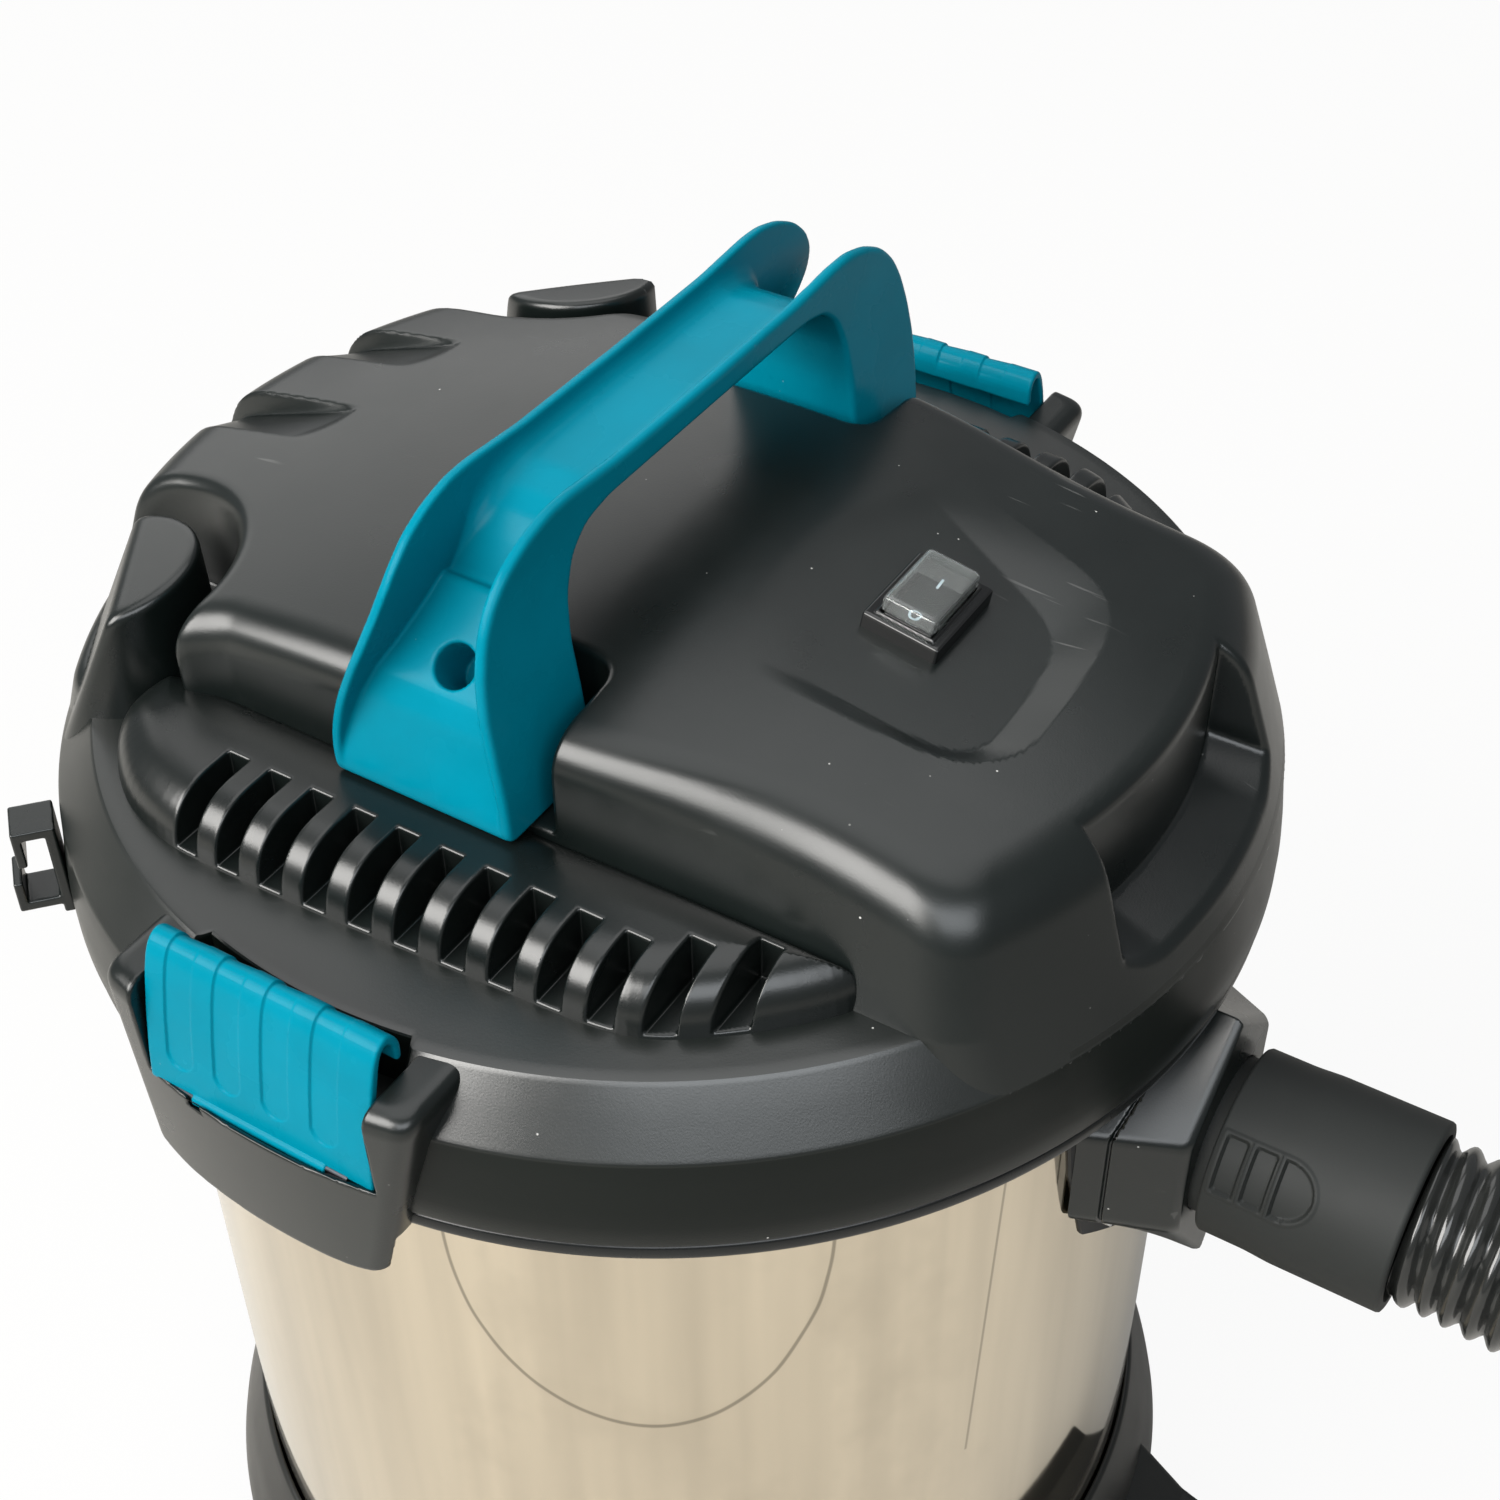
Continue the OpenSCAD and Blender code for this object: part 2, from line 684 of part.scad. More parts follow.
module head_cover() {
    color(black) difference() {
        union() {
            difference() {
                union() {
                    head_skirt(0);
                    head_block(0);
                    head_ledge(-1, 0);
                    head_ledge(1, 0);
                }
                difference() {
                    union() {
                        head_skirt(head_wall);
                        head_block(head_wall);
                        head_ledge(-1, head_wall);
                        head_ledge(1, head_wall);
                    }
                    for (a = post_angles) post_recess(a, head_wall);
                    scoop(head_wall);
                    panel_recess(head_wall);
                    for (s = [-1, 1]) handle_pocket(s, head_wall);
                    for (x = groove_x) translate([0, 0, -head_wall]) groove(x);
                    for (p = deck_screw_places) translate([p[0], p[1], deck_top])
                        cylinder(r = 5, h = 30);
                    for (s = [-1, 1]) translate([s * handle_screw_x, foot_shift, strip_z - 4])
                        cylinder(r = 6, h = 30);
                }
                for (a = post_angles) post_recess(a, 0);
            }
            bracket(-1);
            bracket(1);
            for (a = post_angles) intersection() {
                at_rear(a, post_ring) translate([0, 0, strip_z - 1]) cylinder(r = post_r, h = 60);
                rotate([0, 0, a]) translate([0, -50, 0]) cube([post_flat, 100, dome_top]);
                translate([0, 0, dome_centre]) sphere(r = dome_r, $fn = 240);
            }
        }
        scoop(0);
        panel_recess(0);
        for (s = [-1, 1]) {
            handle_pocket(s, 0);
            slots(s);
            translate([s * handle_screw_x, foot_shift, strip_z - 6])
                cylinder(r = handle_screw_r + run_gap, h = 30);
            bar_y(s * pivot_r, pivot_z, latch_pin_d / 2, latch_y - pin_half - 1, latch_y + pin_half + 1);
        }
        for (x = groove_x) groove(x);
        for (p = deck_screw_places) translate([p[0], p[1], deck_top - 1])
            cylinder(r = deck_screw_r + run_gap, h = 11);
        switch_frame() translate([-switch_w / 2 + 1, -switch_d / 2 + 1, -20])
            cube([switch_w - 2, switch_d - 2, 40]);
        bar_y(0, gland_z, gland_r + run_gap, rim_r - 12, rim_r + 8);
    }
}

deck_screw_r = 1.75;
deck_screw_spot = 0.66 * drum_r;
deck_screw_places = [
    [deck_screw_spot, deck_screw_spot], [-deck_screw_spot, deck_screw_spot],
    [deck_screw_spot, -deck_screw_spot], [-deck_screw_spot, -deck_screw_spot]
];

module head_deck() {
    skirt_out = drum_r - drum_wall - 1.2;
    color(black) difference() {
        rotate_extrude() polygon([
            [suction_r, cup_bottom], [cup_r - 3, cup_bottom], [cup_r, cup_bottom + 3], [cup_r, deck_z],
            [skirt_out - 3, deck_z], [skirt_out - 3, deck_z - 20], [skirt_out, deck_z - 20],
            [skirt_out, deck_z], [band_top_r - head_wall - 0.4, deck_z],
            [band_top_r - head_wall - 0.4, deck_top], [cup_r - deck_t, deck_top],
            [cup_r - deck_t, cup_floor], [suction_r, cup_floor]
        ]);
        for (p = deck_screw_places) translate([p[0], p[1], deck_z - 1])
            cylinder(r = deck_screw_r + 0.2, h = deck_t + 2);
    }
}

module head_seal() {
    color([0.1, 0.1, 0.1]) ring(drum_r - 1.5, drum_r + 6, drum_top + 2 + seat_gap, deck_z);
}

module head_screws() {
    color(grey) for (p = deck_screw_places) translate([p[0], p[1], 0]) {
        translate([0, 0, deck_z - 2.5]) cylinder(r = 4, h = 2.5);
        translate([0, 0, deck_z - 1]) cylinder(r = deck_screw_r, h = 12);
    }
}

module vent_foam() {
    inner = block_half - 1;
    color([0.12, 0.12, 0.12]) for (s = [-1, 1])
        translate([s > 0 ? inner : -inner - foam_w, foam_front, deck_top]) cube([foam_w, foam_l, foam_h]);
}

// Lever: an inverted U with its outer wall down to the pivot barrel
module latch_lever(s) {
    swing_gap = 2.7;
    color(teal) difference() {
        union() {
            translate([0, latch_y - lever_half, 0]) rotate([90, 0, 0]) translate([0, 0, -lever_w])
                linear_extrude(lever_w) polygon([
                    [s * (pivot_r - 1.6), pivot_z], [s * (pivot_r + 0.8), pivot_z],
                    [s * (pivot_r - 6), lever_top - 5], [s * (pivot_r - 8.4), lever_top - 1],
                    [s * (pivot_r - 11.4), lever_top], [s * (pivot_r - 14.4), lever_top - 1],
                    [s * (pivot_r - 16.3), lever_top - 5], [s * (strip_r + 0.6), strip_z + 0.5],
                    [s * (strip_r + 2.6), strip_z + 0.5], [s * (pivot_r - 13.9), lever_top - 5],
                    [s * (pivot_r - 11.4), lever_top - 2.5], [s * (pivot_r - 8.6), lever_top - 5]
                ]);
            bar_y(s * pivot_r, pivot_z, barrel_d / 2, latch_y - knuckle_half, latch_y + knuckle_half);
        }
        for (side = [-1, 1]) translate([s > 0 ? pivot_r - 10 : -pivot_r - 10,
            latch_y + (side > 0 ? knuckle_half : -knuckle_half - 60), pivot_z - 10])
            cube([20, 60, 10 + swing_gap]);
        bar_y(s * pivot_r, pivot_z, latch_pin_d / 2 + run_gap, latch_y - lever_half, latch_y + lever_half);
    }
}

module latch_pin(s) {
    color(grey) bar_y(s * pivot_r, pivot_z, latch_pin_d / 2, latch_y - pin_half, latch_y + pin_half);
}

// Handle silhouette seen along Y: half outline, mirrored
handle_half = [
    [foot_out, ledge_z], [foot_out + 1, ledge_z + 23], [foot_out + 1, ledge_z + 43],
    [foot_out - 3, handle_top - 17], [foot_out - 14, handle_top - 6], [foot_out - 28, handle_top],
    [20, handle_top - 1.5], [0, handle_top - 2]
];
handle_inner = [
    [0, handle_top - 11], [50, handle_top - 10.5], [foot_in - 5, handle_top - 14],
    [foot_in, handle_top - 22], [foot_in + 1, ledge_z + 34], [foot_in + 1, ledge_z]
];
function mirror_x(points) = [for (i = [len(points) - 1 : -1 : 0]) [-points[i][0], points[i][1]]];

module along_y(half) {
    translate([0, half, 0]) rotate([90, 0, 0]) linear_extrude(2 * half) children();
}

module handle_side(inset) {
    g = grip_w / 2 - inset;
    f = foot_half - inset;
    rotate([90, 0, 90]) translate([0, 0, -140]) linear_extrude(280) polygon([
        [foot_shift - f, ledge_z - 1], [foot_shift - f + 3, ledge_z + 22], [-g, handle_top - 19],
        [-g, handle_top + 5], [g, handle_top + 5], [g, handle_top - 19],
        [foot_shift + f - 5, ledge_z + 22], [foot_shift + f, ledge_z - 1]
    ]);
}

module handle() {
    web = handle_top - grip_channel;
    color(teal) difference() {
        intersection() {
            along_y(60) polygon(concat(handle_half, mirror_x(handle_half), [
                for (i = [len(handle_inner) - 1 : -1 : 0]) [-handle_inner[i][0], handle_inner[i][1]]
            ], handle_inner));
            handle_side(0);
        }
        intersection() {
            along_y(60) polygon([
                [0, web], [foot_out - 37, web], [foot_out - 27, handle_top - 25],
                [foot_out - 6, ledge_z + 23], [foot_out - 6, ledge_z - 1], [140, ledge_z - 1],
                [140, handle_top + 5], [-140, handle_top + 5], [-140, ledge_z - 1],
                [-foot_out + 6, ledge_z - 1], [-foot_out + 6, ledge_z + 23],
                [-foot_out + 27, handle_top - 25], [-foot_out + 37, web]
            ]);
            handle_side(grip_t);
        }
        for (s = [-1, 1]) translate([s * handle_screw_x, foot_shift, 0]) {
            translate([0, 0, ledge_z + screw_seat]) cylinder(d = handle_hole_d, h = 100);
            translate([0, 0, ledge_z - 1]) cylinder(r = handle_screw_r + 0.1, h = 20);
        }
    }
}

module handle_screws() {
    color(grey) for (s = [-1, 1]) translate([s * handle_screw_x, foot_shift, 0]) {
        translate([0, 0, ledge_z + screw_seat]) cylinder(r = 4.6, h = 3);
        translate([0, 0, strip_z - 3]) cylinder(r = handle_screw_r, h = ledge_z - strip_z + screw_seat + 4);
    }
}

module switch_body() {
    color([0.05, 0.05, 0.05]) switch_frame() difference() {
        union() {
            translate([-switch_w / 2, -switch_d / 2, 0]) cube([switch_w, switch_d, bezel_h]);
            translate([-switch_w / 2 + 1.2, -switch_d / 2 + 1.2, -switch_box_h])
                cube([switch_w - 2.4, switch_d - 2.4, switch_box_h + 1]);
        }
        translate([-switch_w / 2 + 2.5, -switch_d / 2 + 3.4, -8])
            cube([switch_w - 5, switch_d - 6.8, 20]);
        bar_y(0, bezel_h - 1.5, 1.05, -switch_d / 2 + 1.4, switch_d / 2 - 1.4);
    }
}

module switch_rocker() {
    half = switch_w / 2 - 3.6;
    depth = switch_d - 7.6;
    color([0.04, 0.04, 0.04]) switch_frame() translate([0, 0, bezel_h - 1.5]) {
        rotate([0, -rocker_swing / 2, 0]) rotate([90, 0, 0]) translate([0, 0, -depth / 2])
            linear_extrude(depth) polygon([
                [-half, -1], [-half, 2.2], [0, 1.4], [half, 2.2], [half, -1], [2.5, -5], [-2.5, -5]
            ]);
        bar_y(0, 0, 1, -depth / 2 - 1.6, depth / 2 + 1.6);
    }
}

module switch_cover() {
    cover_w = switch_w - 5;
    cover_d = switch_d - 6.4;
    top = 5;
    skin = 0.5;
    color([0.8, 0.85, 0.9, 0.4]) switch_frame() difference() {
        translate([-cover_w / 2, -cover_d / 2, bezel_h]) cube([cover_w, cover_d, top]);
        translate([-cover_w / 2 + skin, -cover_d / 2 + skin, bezel_h - 1])
            cube([cover_w - 2 * skin, cover_d - 2 * skin, top + 1 - skin]);
    }
}

// ---- motor and fan ----

module fan_housing() {
    wall = 1.5;
    out = impeller_d / 2 + 6;
    color(grey) rotate_extrude() polygon([
        [suction_r, fan_bottom], [out - 3, fan_bottom], [out, fan_bottom + 3], [out, fan_top],
        [bearing_r, fan_top], [bearing_r, fan_top - wall], [out - wall, fan_top - wall],
        [out - wall, fan_bottom + 3], [out - 3 - wall / 2, fan_bottom + wall], [suction_r, fan_bottom + wall]
    ]);
}

module impeller() {
    disc = 1.2;
    z0 = fan_bottom + 6;
    z1 = fan_top - 8;
    r = impeller_d / 2;
    color([0.75, 0.75, 0.75]) difference() {
        union() {
            ring(suction_r - 2, r, z0, z0 + disc);
            translate([0, 0, z1 - disc]) cylinder(r = r, h = disc);
            translate([0, 0, z0]) cylinder(r = 9, h = z1 - z0 + 3);
            for (k = [0 : blade_count - 1]) rotate([0, 0, k * 360 / blade_count])
                translate([suction_r - 1, -0.6, z0]) cube([r - suction_r - 1, 1.2, z1 - z0]);
        }
        translate([0, 0, z0 - 1]) cylinder(r = shaft_r, h = z1 - z0 + 6);
    }
}

module motor_shaft() {
    color([0.7, 0.7, 0.7]) translate([0, 0, shaft_bottom]) cylinder(r = shaft_r, h = shaft_top - shaft_bottom);
}

module armature() {
    color([0.6, 0.35, 0.2]) difference() {
        union() {
            translate([0, 0, core_z]) cylinder(r = armature_r, h = core_h);
            translate([0, 0, core_z - 5]) cylinder(r = armature_r - 6, h = core_h + 10);
            translate([0, 0, commutator_z]) cylinder(r = commutator_r, h = commutator_h);
        }
        translate([0, 0, core_z - 10]) cylinder(r = shaft_r, h = core_h + 50);
    }
}

module stator() {
    color([0.55, 0.5, 0.45]) ring(armature_r + air_gap, stator_r, core_z, core_z + core_h);
}

module motor_frame() {
    seat = bearing_r;
    color([0.3, 0.3, 0.3]) difference() {
        rotate_extrude() polygon([
            [seat, fan_top], [frame_r, fan_top], [frame_r, commutator_z + commutator_h + 3],
            [seat + 3, shaft_top - 1], [seat, shaft_top - 1], [seat, bearing_high],
            [seat + 1, commutator_z + commutator_h + 1], [stator_r, commutator_z + commutator_h],
            [stator_r, fan_top + 3], [seat + 2, fan_top + 3], [seat + 2, bearing_low + bearing_h],
            [seat, bearing_low + bearing_h]
        ]);
        for (a = [45 : 90 : 315]) rotate([0, 0, a]) translate([stator_r - 12, -9, commutator_z - 3])
            cube([40, 18, 10]);
        for (s = [-1, 1]) translate([s * (stator_r - 4) - 10, -6, commutator_z + 2]) cube([20, 12, 9]);
    }
}

module brush_holders() {
    color([0.7, 0.55, 0.25]) for (s = [-1, 1])
        translate([s > 0 ? commutator_r + 0.3 : -frame_r, -6 + run_gap, commutator_z + 2 + run_gap])
            cube([frame_r - commutator_r - 0.3, 12 - 2 * run_gap, 9 - 2 * run_gap]);
}

module bearing(z) {
    color([0.7, 0.7, 0.7]) ring(shaft_r + run_gap, bearing_r, z, z + bearing_h);
}

module motor_gasket() {
    color([0.1, 0.1, 0.1]) ring(impeller_d / 2 - 12, impeller_d / 2 + 2, cup_floor, fan_bottom);
}

// ---- float and filter ----

module float_cage() {
    color(black) difference() {
        union() {
            ring(seat_r, cage_r + 14, cage_top - cage_flange, cage_top);
            rotate_extrude() polygon([
                [0, cage_bottom], [cage_r, cage_bottom], [cage_r, cage_top], [cage_r - cage_wall, cage_top],
                [cage_r - cage_wall, cage_bottom + 2.5], [0, cage_bottom + 2.5]
            ]);
        }
        for (k = [0 : 7]) rotate([0, 0, 45 * k]) translate([cage_r - 8, -5, cage_bottom + 8])
            cube([16, 10, cage_h - 20]);
    }
}

module float_ball() {
    color([0.9, 0.9, 0.85]) translate([0, 0, cage_bottom + 2.5 + seat_gap + float_r])
        sphere(r = float_r, $fn = 64);
}

module filter() {
    inner = cage_r + seat_gap;
    low = cage_bottom - seat_gap;
    color([0.25, 0.25, 0.27]) rotate_extrude() polygon([
        [0, low - 4], [inner + filter_t - 3, low - 4], [inner + filter_t, low - 1],
        [inner + filter_t, cage_top - cage_flange - 1], [inner, cage_top - cage_flange - 1],
        [inner, low], [0, low]
    ]);
}

module filter_clamp() {
    inner = cage_r + seat_gap + filter_t;
    color(grey) ring(inner, inner + 1.5, cage_top - cage_flange - 12, cage_top - cage_flange - 5);
}

// ---- mains cord fittings ----

clip_angle = 138;
gland_z = rim_z + 18;
gland_r = 6.4;
cord_r = 3.6;

module cord_clip() {
    w = 12;
    color(black) rotate([0, 0, clip_angle]) rotate([90, 0, 0]) translate([0, 0, -w / 2])
        linear_extrude(w) polygon([
            [band_r, rim_z - 1], [band_r + 3, rim_z - 1], [band_r + 3, rim_z + 2], [band_r + 14, rim_z + 2],
            [band_r + 14, rim_z + 12], [band_r + 11.5, rim_z + 12], [band_r + 11.5, rim_z + 5],
            [band_r + 3, rim_z + 5], [band_r + 3, rim_z + 26], [band_r + 9, rim_z + 26],
            [band_r + 9, rim_z + 17], [band_r + 11.5, rim_z + 17], [band_r + 11.5, rim_z + 29],
            [band_r + 3, rim_z + 29], [band_r, rim_z + 29]
        ]);
}

module cord_gland() {
    color([0.1, 0.1, 0.1]) difference() {
        union() {
            bar_y(0, gland_z, gland_r, rim_r - 10, rim_r + 12);
            bar_y(0, gland_z, gland_r + 2.4, rim_r + 1, rim_r + 4);
        }
        bar_y(0, gland_z, cord_r, rim_r - 11, rim_r + 13);
    }
}

// ---- assembly ----

drum();
drum_rim();
base_skirt();
inlet_block();
inlet_gasket();
inlet_spout();
inlet_screws();
hose_cuff();
hose();
hose_grip();
for (i = [1 : 4]) {
    caster_fork(i);
    caster_axle(i);
    caster_wheel(i);
}
head_cover();
head_deck();
head_seal();
head_screws();
vent_foam();
latch_lever(-1);  // latch_lever_left
latch_lever(1);  // latch_lever_right
latch_pin(-1);  // latch_pin_left
latch_pin(1);  // latch_pin_right
handle();
handle_screws();
switch_body();
switch_rocker();
switch_cover();
fan_housing();
motor_frame();
stator();
brush_holders();
bearing(bearing_high);  // bearing_top
bearing(bearing_low);  // bearing_bottom
motor_shaft();
armature();
impeller();
motor_gasket();
float_cage();
float_ball();
filter();
filter_clamp();
cord_clip();
cord_gland();
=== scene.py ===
"""Looks of a wet and dry shop vacuum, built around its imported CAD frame.

Sizes in the classes are millimetres in the part's own frame: Z up from the floor, the drum's axis at
X = Y = 0, the hose inlet towards -Y and the latches at -X and +X. Meshes are written in metres.
"""

import json
import logging
import math
from dataclasses import dataclass
from enum import Enum
from typing import Callable, Optional, Sequence

import bpy
import numpy as np
from mathutils import Matrix, Vector

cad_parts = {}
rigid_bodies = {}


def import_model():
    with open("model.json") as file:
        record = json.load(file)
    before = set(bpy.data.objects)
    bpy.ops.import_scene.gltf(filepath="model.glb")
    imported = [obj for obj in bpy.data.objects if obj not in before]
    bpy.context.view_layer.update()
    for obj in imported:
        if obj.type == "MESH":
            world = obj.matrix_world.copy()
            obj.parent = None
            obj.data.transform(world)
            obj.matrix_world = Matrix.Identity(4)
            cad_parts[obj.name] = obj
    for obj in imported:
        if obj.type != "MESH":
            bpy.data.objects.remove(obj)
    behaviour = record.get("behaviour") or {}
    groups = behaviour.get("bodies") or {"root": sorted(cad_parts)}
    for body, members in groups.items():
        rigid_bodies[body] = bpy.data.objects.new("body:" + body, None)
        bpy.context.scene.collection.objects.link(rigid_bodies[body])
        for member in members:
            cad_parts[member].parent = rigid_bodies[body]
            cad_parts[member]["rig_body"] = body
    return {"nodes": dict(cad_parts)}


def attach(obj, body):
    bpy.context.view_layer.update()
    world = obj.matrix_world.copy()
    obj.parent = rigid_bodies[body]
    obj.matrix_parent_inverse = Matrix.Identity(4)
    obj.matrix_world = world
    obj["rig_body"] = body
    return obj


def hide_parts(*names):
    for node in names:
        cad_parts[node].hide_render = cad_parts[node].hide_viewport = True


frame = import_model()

LOG = logging.getLogger("shop_vacuum")
MM = 0.001
RIM_Z = 330.0
LATCH_PIN = (169.9, 15.4)

Array = np.ndarray
Outline = tuple[tuple[float, float], ...]
Distance = Callable[[Array, Array, Array], Array]


# ---------------------------------------------------------------- shape tools


def soft_max(a: Array, b: Array, k: float) -> Array:
    """Larger of two distances, with a fillet of about k where they cross: max + (k - |a - b|)^2 / 4k."""
    h = np.maximum(k - np.abs(a - b), 0.0)
    return np.maximum(a, b) + h * h / (4.0 * k)


def soft_min(a: Array, b: Array, k: float) -> Array:
    """Smaller of two distances, with a fillet of about k where they cross."""
    return -soft_max(-a, -b, k)


def ease(t: Array) -> Array:
    """Smooth step from 0 to 1: 3t^2 - 2t^3 on the clamped t."""
    t = np.clip(t, 0.0, 1.0)
    return t * t * (3.0 - 2.0 * t)


def box_distance(
    x: Array, y: Array, z: Array, low: Sequence[float], high: Sequence[float], k: float = 0.6
) -> Array:
    """Distance to a box with edges rounded by about k: the soft maximum over its six planes.

    Args:
        x: X of the points.
        y: Y of the points.
        z: Z of the points.
        low: The box's lowest corner.
        high: Its highest corner.
        k: Rounding of its edges.

    Returns:
        The distance, negative inside.
    """
    px = np.maximum(low[0] - x, x - high[0])
    py = np.maximum(low[1] - y, y - high[1])
    pz = np.maximum(low[2] - z, z - high[2])
    return soft_max(soft_max(px, py, k), pz, k)


def polygon_distance(x: Array, y: Array, corners: Sequence[Sequence[float]]) -> Array:
    """Signed distance to a flat polygon, negative inside.

    For each side it takes the nearest point, and an even-odd count of sides crossed gives the sign.

    Args:
        x: First coordinate of the points.
        y: Second coordinate of the points.
        corners: The polygon's corners in order.

    Returns:
        The distance of every point.
    """
    nearest = None
    inside = np.zeros(np.broadcast(x, y).shape, bool)
    ends = np.asarray(corners, float)
    for (ax, ay), (bx, by) in zip(ends.tolist(), np.roll(ends, -1, 0).tolist()):
        ex, ey = bx - ax, by - ay
        wx, wy = x - ax, y - ay
        t = np.clip((wx * ex + wy * ey) / (ex * ex + ey * ey), 0.0, 1.0)
        d = (wx - ex * t) ** 2 + (wy - ey * t) ** 2
        nearest = d if nearest is None else np.minimum(nearest, d)
        slope = ex / ey if abs(ey) > 1e-9 else 0.0
        inside ^= ((ay > y) != (by > y)) & (x < slope * (y - ay) + ax)
    return np.where(inside, -1.0, 1.0) * np.sqrt(nearest)


def length(a: Array, b: Array) -> Array:
    """Length of the vector (a, b)."""
    return np.sqrt(a * a + b * b)


def direction(angle: float) -> tuple[float, float]:
    """Cosine and sine of an angle in degrees."""
    return math.cos(math.radians(angle)), math.sin(math.radians(angle))


def polar(x: Array, y: Array) -> tuple[Array, Array]:
    """Radius and angle in degrees around the drum's axis."""
    return length(x, y), np.degrees(np.arctan2(y, x))


def turn_from(angle: Array, middle: float) -> Array:
    """Angle measured from a middle direction, wrapped to -180 to 180 degrees."""
    return (angle - middle + 180.0) % 360.0 - 180.0


def gradient(shape: Distance, p: Array, reach: float) -> Array:
    """Slope of a distance at points, by central differences over the given reach.

    Args:
        shape: The distance.
        p: Points, one to a row.
        reach: How far it looks to each side.

    Returns:
        One slope to a row.
    """
    g = np.empty_like(p)
    for axis in range(3):
        step = np.zeros(3)
        step[axis] = reach
        a, b = p + step, p - step
        g[:, axis] = shape(a[:, 0], a[:, 1], a[:, 2]) - shape(b[:, 0], b[:, 1], b[:, 2])
    return g / (2.0 * reach)


def skin(
    shape: Distance, low: Sequence[float], high: Sequence[float], step: Sequence[float], settle: int = 2
) -> tuple[Array, Array, Array]:
    """Surface where a distance is zero, as one point for each grid cell that the surface passes through.

    A cell's point is the mean of the crossings on its twelve edges. It is then moved onto the surface along
    the slope: p - d * g / |g|^2. Each grid edge with a change of sign gives the quad of its four cells.

    Args:
        shape: Signed distance, negative inside, of arrays x, y, z.
        low: Lowest corner of the grid, outside the shape.
        high: Highest corner of the grid, outside the shape.
        step: Grid spacing along each axis.
        settle: Number of moves onto the surface.

    Returns:
        Points, quads and outward normals.
    """
    low, step = np.asarray(low, float), np.asarray(step, float)
    count = np.ceil((np.asarray(high, float) - low) / step).astype(int) + 1
    axes = [
        (low[i] + step[i] * np.arange(count[i])).reshape([-1 if j == i else 1 for j in range(3)])
        for i in range(3)
    ]
    d = np.broadcast_to(shape(*[a.astype(np.float32) for a in axes]), count).astype(np.float32)
    solid = d < 0
    corners = [(i, j, k) for i in (0, 1) for j in (0, 1) for k in (0, 1)]
    cell = tuple(count - 1)
    filled = np.zeros(cell, np.int8)
    for i, j, k in corners:
        filled += solid[i : i + cell[0], j : j + cell[1], k : k + cell[2]]
    crossed = (filled > 0) & (filled < 8)
    at = np.argwhere(crossed)
    number = np.full(cell, -1, np.int64)
    number[crossed] = np.arange(len(at))
    value = {c: d[at[:, 0] + c[0], at[:, 1] + c[1], at[:, 2] + c[2]].astype(float) for c in corners}
    total, hits = np.zeros((len(at), 3)), np.zeros(len(at))
    for axis in range(3):
        for a in corners:
            if a[axis]:
                continue
            b = tuple(1 if n == axis else v for n, v in enumerate(a))
            va, vb = value[a], value[b]
            cut = (va < 0) != (vb < 0)
            t = np.where(cut, va / np.where(cut, va - vb, 1.0), 0.0)
            place = np.array(a, float) + np.outer(t, [1.0 if n == axis else 0.0 for n in range(3)])
            total += place * cut[:, None]
            hits += cut
    p = low + step * (at + total / hits[:, None])
    reach = 0.25 * float(step.min())
    for _ in range(settle):
        g = gradient(shape, p, reach)
        length = np.maximum(np.linalg.norm(g, axis=1), 0.2)
        move = np.clip(shape(p[:, 0], p[:, 1], p[:, 2]) / length, -0.4 * step.min(), 0.4 * step.min())
        p -= move[:, None] * g / length[:, None]
    quads = []
    for axis in range(3):
        b, c = (axis + 1) % 3, (axis + 2) % 3
        here = [slice(1, -1)] * 3
        there = [slice(1, -1)] * 3
        here[axis], there[axis] = slice(0, -1), slice(1, None)
        s0, s1 = solid[tuple(here)], solid[tuple(there)]
        edge = np.argwhere(s0 != s1)
        if not len(edge):
            continue
        outward = s0[tuple(edge.T)]
        grid = edge.copy()
        grid[:, b] += 1
        grid[:, c] += 1
        ring = []
        for db, dc in ((-1, -1), (0, -1), (0, 0), (-1, 0)):
            n = grid.copy()
            n[:, b] += db
            n[:, c] += dc
            ring.append(number[tuple(n.T)])
        quad = np.stack(ring, 1)
        quad[~outward] = quad[~outward][:, ::-1]
        quads.append(quad)
    normal = gradient(shape, p, 1.6 * reach)
    normal /= np.maximum(np.linalg.norm(normal, axis=1), 1e-6)[:, None]
    return p, np.concatenate(quads), normal


def full_turn(columns: int) -> Array:
    """Row of evenly spaced angles round a circle, in radians."""
    return np.linspace(0.0, 2.0 * np.pi, columns, endpoint=False)[None, :]


def grid_faces(rows: int, columns: int, close_rows: bool = False, close_columns: bool = True) -> Array:
    """Quads between neighbouring points of a grid of rows times columns, row after row.

    Args:
        rows: Number of rows.
        columns: Number of points in a row.
        close_rows: The last row joins the first.
        close_columns: The last column joins the first.

    Returns:
        One line of four point numbers for each quad.
    """
    r = np.arange(rows if close_rows else rows - 1)[:, None]
    c = np.arange(columns if close_columns else columns - 1)[None, :]
    r1, c1 = (r + 1) % rows, (c + 1) % columns
    return np.stack(
        np.broadcast_arrays(r * columns + c, r * columns + c1, r1 * columns + c1, r1 * columns + c), -1
    ).reshape(-1, 4)


